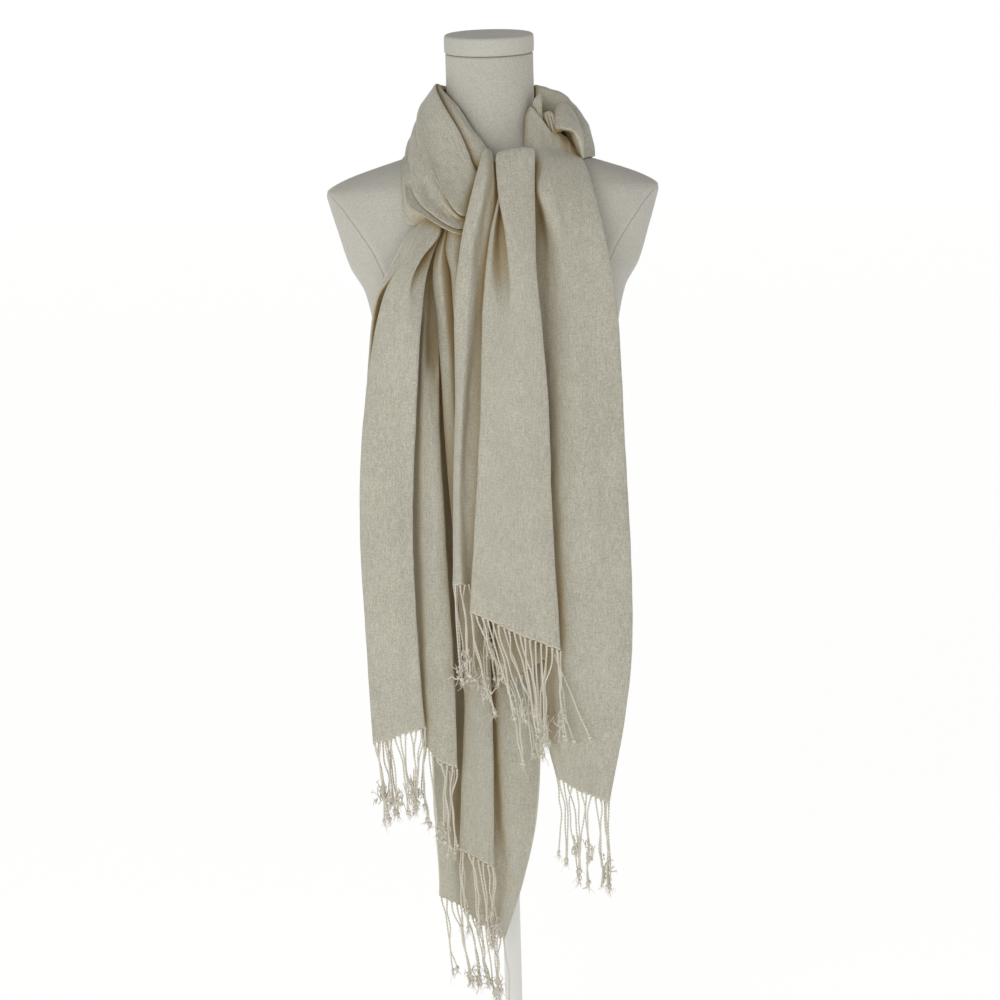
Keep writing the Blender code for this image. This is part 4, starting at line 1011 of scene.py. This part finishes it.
class Yarns:
    """The tubes of one fringe, gathered up to become one mesh."""

    def __init__(self):
        self.points = []
        self.faces = []

    def tube(self, line, radii, sides):
        """A closed tube along a line of points, with a radius at each."""
        line = np.asarray(line, float)
        along = unit(np.gradient(line, axis=0))
        side = unit(np.cross(along, (0.13, 0.98, 0.11)))
        other = np.cross(along, side)
        angles = 2 * math.pi * np.arange(sides) / sides
        ring = (side[:, None] * np.cos(angles)[None, :, None]
                + other[:, None] * np.sin(angles)[None, :, None])
        rings = line[:, None] + ring * np.asarray(radii)[:, None, None]
        first = len(self.points)
        self.points.extend(rings.reshape(-1, 3))
        self.faces.extend(tube_faces(len(line), sides, first))
        last = first + (len(line) - 1) * sides
        self.faces.append(tuple(reversed(range(first, first + sides))))
        self.faces.append(tuple(range(last, last + sides)))

    def cord(self, line, twist):
        """Two plies wound round each other along a line, thick where they leave the hem."""
        run = run_along(line[:, None])
        angle = 2 * math.pi * run / PLY_TURN + twist
        swell = 1.0 + 0.6 * np.exp(-run / (4 * MM))
        for ply in (0.0, math.pi):
            offset = np.stack([np.cos(angle + ply), np.sin(angle + ply), 0 * angle], axis=1)
            self.tube(line + offset * (PLY_RADIUS * 0.95 * swell)[:, None],
                      PLY_RADIUS * swell, 5)

    def knot(self, place, size, lean):
        """A small overhand knot: a few turns of yarn drawn tight round the cord."""
        turn = np.linspace(0, 2 * math.pi * KNOT_TURNS, 22)
        share = turn / turn[-1]
        bulge = np.sin(share * math.pi) ** 0.6
        line = np.stack([np.cos(turn) * size * 0.7 * bulge, np.sin(turn) * size * 0.7 * bulge,
                         size * (0.9 - 1.8 * share)], axis=1)
        line[:, 0] += line[:, 2] * lean
        self.tube(place + line, np.full(len(turn), size * 0.6), 5)

    def tuft(self, place, heading, random):
        """Frayed yarn ends below a knot."""
        for _ in range(TUFT_YARNS):
            length = random.uniform(*TUFT_LENGTHS) * MM
            spread = random.normal(0, 0.30, 3)
            curl = random.normal(0, 0.46, 3)
            t = np.linspace(0, 1, 6)[:, None]
            line = place + (heading + spread) * length * t + curl * length * t ** 2
            self.tube(line, np.linspace(0.46, 0.16, 6) * MM, 3)

    def mat(self, place, width, drop, random):
        """A tangle of frayed yarn that neighbouring cords have felted into."""
        size = np.array((width, 0.6 * width, drop))
        for _ in range(MAT_YARNS):
            steps = random.normal(0, 0.22, (8, 3)) * size
            line = place + random.normal(0, 0.24, 3) * size + np.cumsum(steps, axis=0)
            line[1:-1] = (line[:-2] + 2 * line[1:-1] + line[2:]) / 4
            self.tube(line, np.linspace(1.0, 0.4, 8) * random.uniform(0.6, 1.2) * MM, 4)


def hem_roots(hem, pitch):
    """Evenly spaced places along a hem."""
    run = run_along(hem[:, None])
    count = max(int(run[-1] / pitch), 2)
    places = (np.arange(count) + 0.5) * run[-1] / count
    return np.stack([np.interp(places, run, hem[:, axis]) for axis in range(3)], axis=1)


def sway(t, size, waves, turns, random):
    """A cord's wandering from its way, as a few waves, each smaller than the one before."""
    path = sum(random.normal(0, size / n) * np.sin(math.pi * (t * n * turns + random.uniform(0, 2)))
               for n in range(1, waves + 1))
    return path - path[0]


def strand_line(root, meet, meet_at, cling, drift, length, random):
    """The way of one cord: it leaves the hem, meets its neighbours, and wanders down."""
    t = np.linspace(0, 1, int(length / RING_STEP))
    pull = fade(t, 0, meet_at) * cling
    opened = np.clip((t - meet_at - 0.15) / 0.4, 0, 1) * random.uniform(*CORD_OPENS)
    line = root + ((meet - root) * (1, 1, 0))[None, :] * (pull + opened)[:, None]
    x = drift * t ** 1.2 + sway(t, 1.3, 4, 1.5, random)
    depth = sway(t, 1.0, 2, 1.6, random)
    return line + np.stack([x * MM, depth * MM, -length * t], axis=1)


def hang_fringe(fringe, hem):
    """One hem's cords. They sway a little, and a few neighbours cling together on the way down."""
    random = np.random.default_rng(fringe.seed)
    yarns = Yarns()
    roots = list(hem_roots(hem, STRAND_PITCH))
    middle = np.mean(hem[:, 0]) / MM
    while roots:
        size = min(int(random.choice(GROUP_SIZES)), len(roots))
        group, roots = roots[:size], roots[size:]
        meet = np.mean(group, axis=0) + (random.normal(0, 2.5) * MM, random.normal(0, 1) * MM, 0)
        meet_at = random.uniform(*GROUP_MEETS)
        drift = (fringe.drift * random.uniform(*GROUP_DRIFTS) + random.normal(0, 5)
                 + fringe.gather * (middle - meet[0] / MM))
        share = random.uniform(*GROUP_LENGTHS)
        stray = 0 if roots else fringe.stray
        for number, root in enumerate(group, 1):
            length = fringe.length * MM * share * random.uniform(*CORD_LENGTHS)
            line = strand_line(root, meet, meet_at, random.uniform(*CORD_CLINGS),
                               drift + random.normal(0, 2) + stray * number / size,
                               length, random)
            cut = len(line) - int(KNOT_FROM_TIP / RING_STEP)
            yarns.cord(line[:cut], random.uniform(0, 6))
            yarns.knot(line[cut - 1], random.uniform(*KNOT_SIZES) * MM, random.normal(0, 0.4))
            yarns.tuft(line[cut - 1] + (0, 0, -1.2 * MM), np.array((0.0, 0.0, -1.0)), random)
        if size > 1 and random.uniform() < MAT_CHANCE:
            yarns.mat(line[int(len(line) * random.uniform(0.6, 0.92))],
                      random.uniform(*MAT_WIDTHS) * MM, random.uniform(*MAT_DROPS) * MM, random)
    mesh = mesh_of(fringe.name, yarns.points, yarns.faces, np.zeros((len(yarns.points), 2)))
    return add_piece(mesh, cream_yarn, "cream_yarn", fringe.node)


cream_yarn = yarn()
Tail = namedtuple("Tail", "name node panel flat seed fringe")
TAILS = (
    Tail("right_tail_cloth", "right_tail", RIGHT_TAIL, (0.13, 0.82), 11,
         Fringe("right_cords", "right_fringe", 21, 122, 3, 0.0)),
    Tail("centre_front_cloth", "centre_front_tail", CENTRE_FRONT, (0.115, 0.60), 12,
         Fringe("centre_front_cords", "centre_front_fringe", 22, 132, 20, 0.35, 50)),
    Tail("centre_side_cloth", "centre_side_tail", CENTRE_SIDE, (0.072, 0.52), 13,
         Fringe("centre_side_cords", "centre_side_fringe", 33, 138, 1, 0.1)),
    Tail("centre_inner_cloth", "centre_inner_fold", CENTRE_INNER, (0.053, 0.36), 14,
         Fringe("centre_inner_cords", "centre_inner_fringe", 24, 118, 8, 0.3)),
    Tail("left_front_cloth", "left_front_tail", LEFT_FRONT, (0.122, 0.64), 15,
         Fringe("left_front_cords", "left_front_fringe", 25, 110, 3, 0.1)),
    Tail("left_second_cloth", "left_second_fold", LEFT_SECOND, (0.06, 0.65), 16,
         Fringe("left_second_cords", "left_second_fringe", 26, 118, 5, 0.1)),
    Tail("left_third_cloth", "left_third_fold", LEFT_THIRD, (0.07, 0.78), 17,
         Fringe("left_third_cords", "left_third_fringe", 27, 114, 4, 0.1)),
    Tail("left_rear_cloth", "left_rear_fold", LEFT_REAR, (0.125, 0.80), 18,
         Fringe("left_rear_cords", "left_rear_fringe", 28, 106, 8, 0.1)),
)
for tail in TAILS:
    shape = Cloth(panel_lines(tail.panel))
    shape.ripple(tail.seed, **SLACK_WAVES).ripple(tail.seed + FINE_SEED, **FINE_WAVES)
    shape.clear_form().scallop(tail.seed, STRAND_PITCH, HEM_DIP)
    tail_piece = shape.piece(tail.name, tail.node)
    fringe_piece = hang_fringe(tail.fringe, shape.points[-1])


# ---- Floor, light and camera -------------------------------------------------------------------
# A plain pale floor in an evenly lit white room, one large soft light beside the camera, and the
# camera a little above the shawl's middle, looking down at it.

FLOOR_REACH = 60.0
FLOOR_COLOUR = (0.55, 0.55, 0.545, 1.0)
FLOOR_GLOW = (1.0, 1.0, 0.995, 1.0)
ROOM_COLOUR = (1.0, 1.0, 1.0, 1.0)
WALL_BRIGHTNESS = 1.0
CEILING_BRIGHTNESS = 0.44
RIGHT_WALL_SHARE = 0.72         # brightness of the right wall, as a share of the others'
LAMP_WIDTH = 1.4
LAMP_WATTS = 15.0
LAMP_PLACE = (-0.95, -2.75, 1.35)
VIEW_TARGET = Vector((-0.001, -0.115, 0.897))
VIEW_DISTANCE = 2.88
VIEW_HEIGHT_ANGLE = math.radians(8.0)
VIEW_ROLL = math.radians(-1.5)
FOCAL_SHARE = 2.4               # focal length as a share of the film's width


def stage_floor():
    """A plain pale floor, far wider than the view."""
    reach = FLOOR_REACH
    corners = ((-reach, -reach, 0), (reach, -reach, 0), (reach, reach, 0), (-reach, reach, 0))
    mesh = bpy.data.meshes.new("floor")
    mesh.from_pydata(corners, [], [(0, 1, 2, 3)])
    floor = bpy.data.objects.new("floor", mesh)
    bpy.context.scene.collection.objects.link(floor)
    paint = Finish("floor_paint")
    paint.surface(Base_Color=FLOOR_COLOUR, Roughness=0.9, Emission_Color=FLOOR_GLOW,
                  Emission_Strength=0.73)
    mesh.materials.append(paint.data)


def studio_room():
    """A white room: walls bright up to eye level, the right one and the ceiling dimmer."""
    room = Finish("room", "worlds", "Background")
    direction = room.node("ShaderNodeTexCoord", {}, output="Generated")
    ceiling = room.spread(direction.axis(2), 0.09, 0.30, WALL_BRIGHTNESS, CEILING_BRIGHTNESS)
    side = room.spread(direction.axis(0), 0.25, 0.85, 1.0, RIGHT_WALL_SHARE)
    room.surface(Color=ROOM_COLOUR, Strength=ceiling * side)
    return room.data


stage_floor()
bpy.context.scene.world = studio_room()
bpy.context.scene.view_settings.view_transform = "Standard"

lamp = bpy.data.lights.new("key_light", "AREA")
lamp.shape = "DISK"
lamp.size = LAMP_WIDTH
lamp.energy = LAMP_WATTS
key_light = bpy.data.objects.new("key_light", lamp)
key_light.location = LAMP_PLACE
key_light.rotation_euler = (VIEW_TARGET - key_light.location).to_track_quat("-Z", "Y").to_euler()
bpy.context.scene.collection.objects.link(key_light)

camera = bpy.data.objects.new("camera", bpy.data.cameras.new("camera"))
camera.data.lens = camera.data.sensor_width * FOCAL_SHARE
back_off = Vector((0.0, -math.cos(VIEW_HEIGHT_ANGLE), math.sin(VIEW_HEIGHT_ANGLE)))
aim = (-back_off).to_track_quat("-Z", "Y").to_matrix().to_4x4()
camera.matrix_world = (Matrix.Translation(VIEW_TARGET + back_off * VIEW_DISTANCE) @ aim
                       @ Matrix.Rotation(VIEW_ROLL, 4, "Z"))
bpy.context.scene.collection.objects.link(camera)
bpy.context.scene.camera = camera
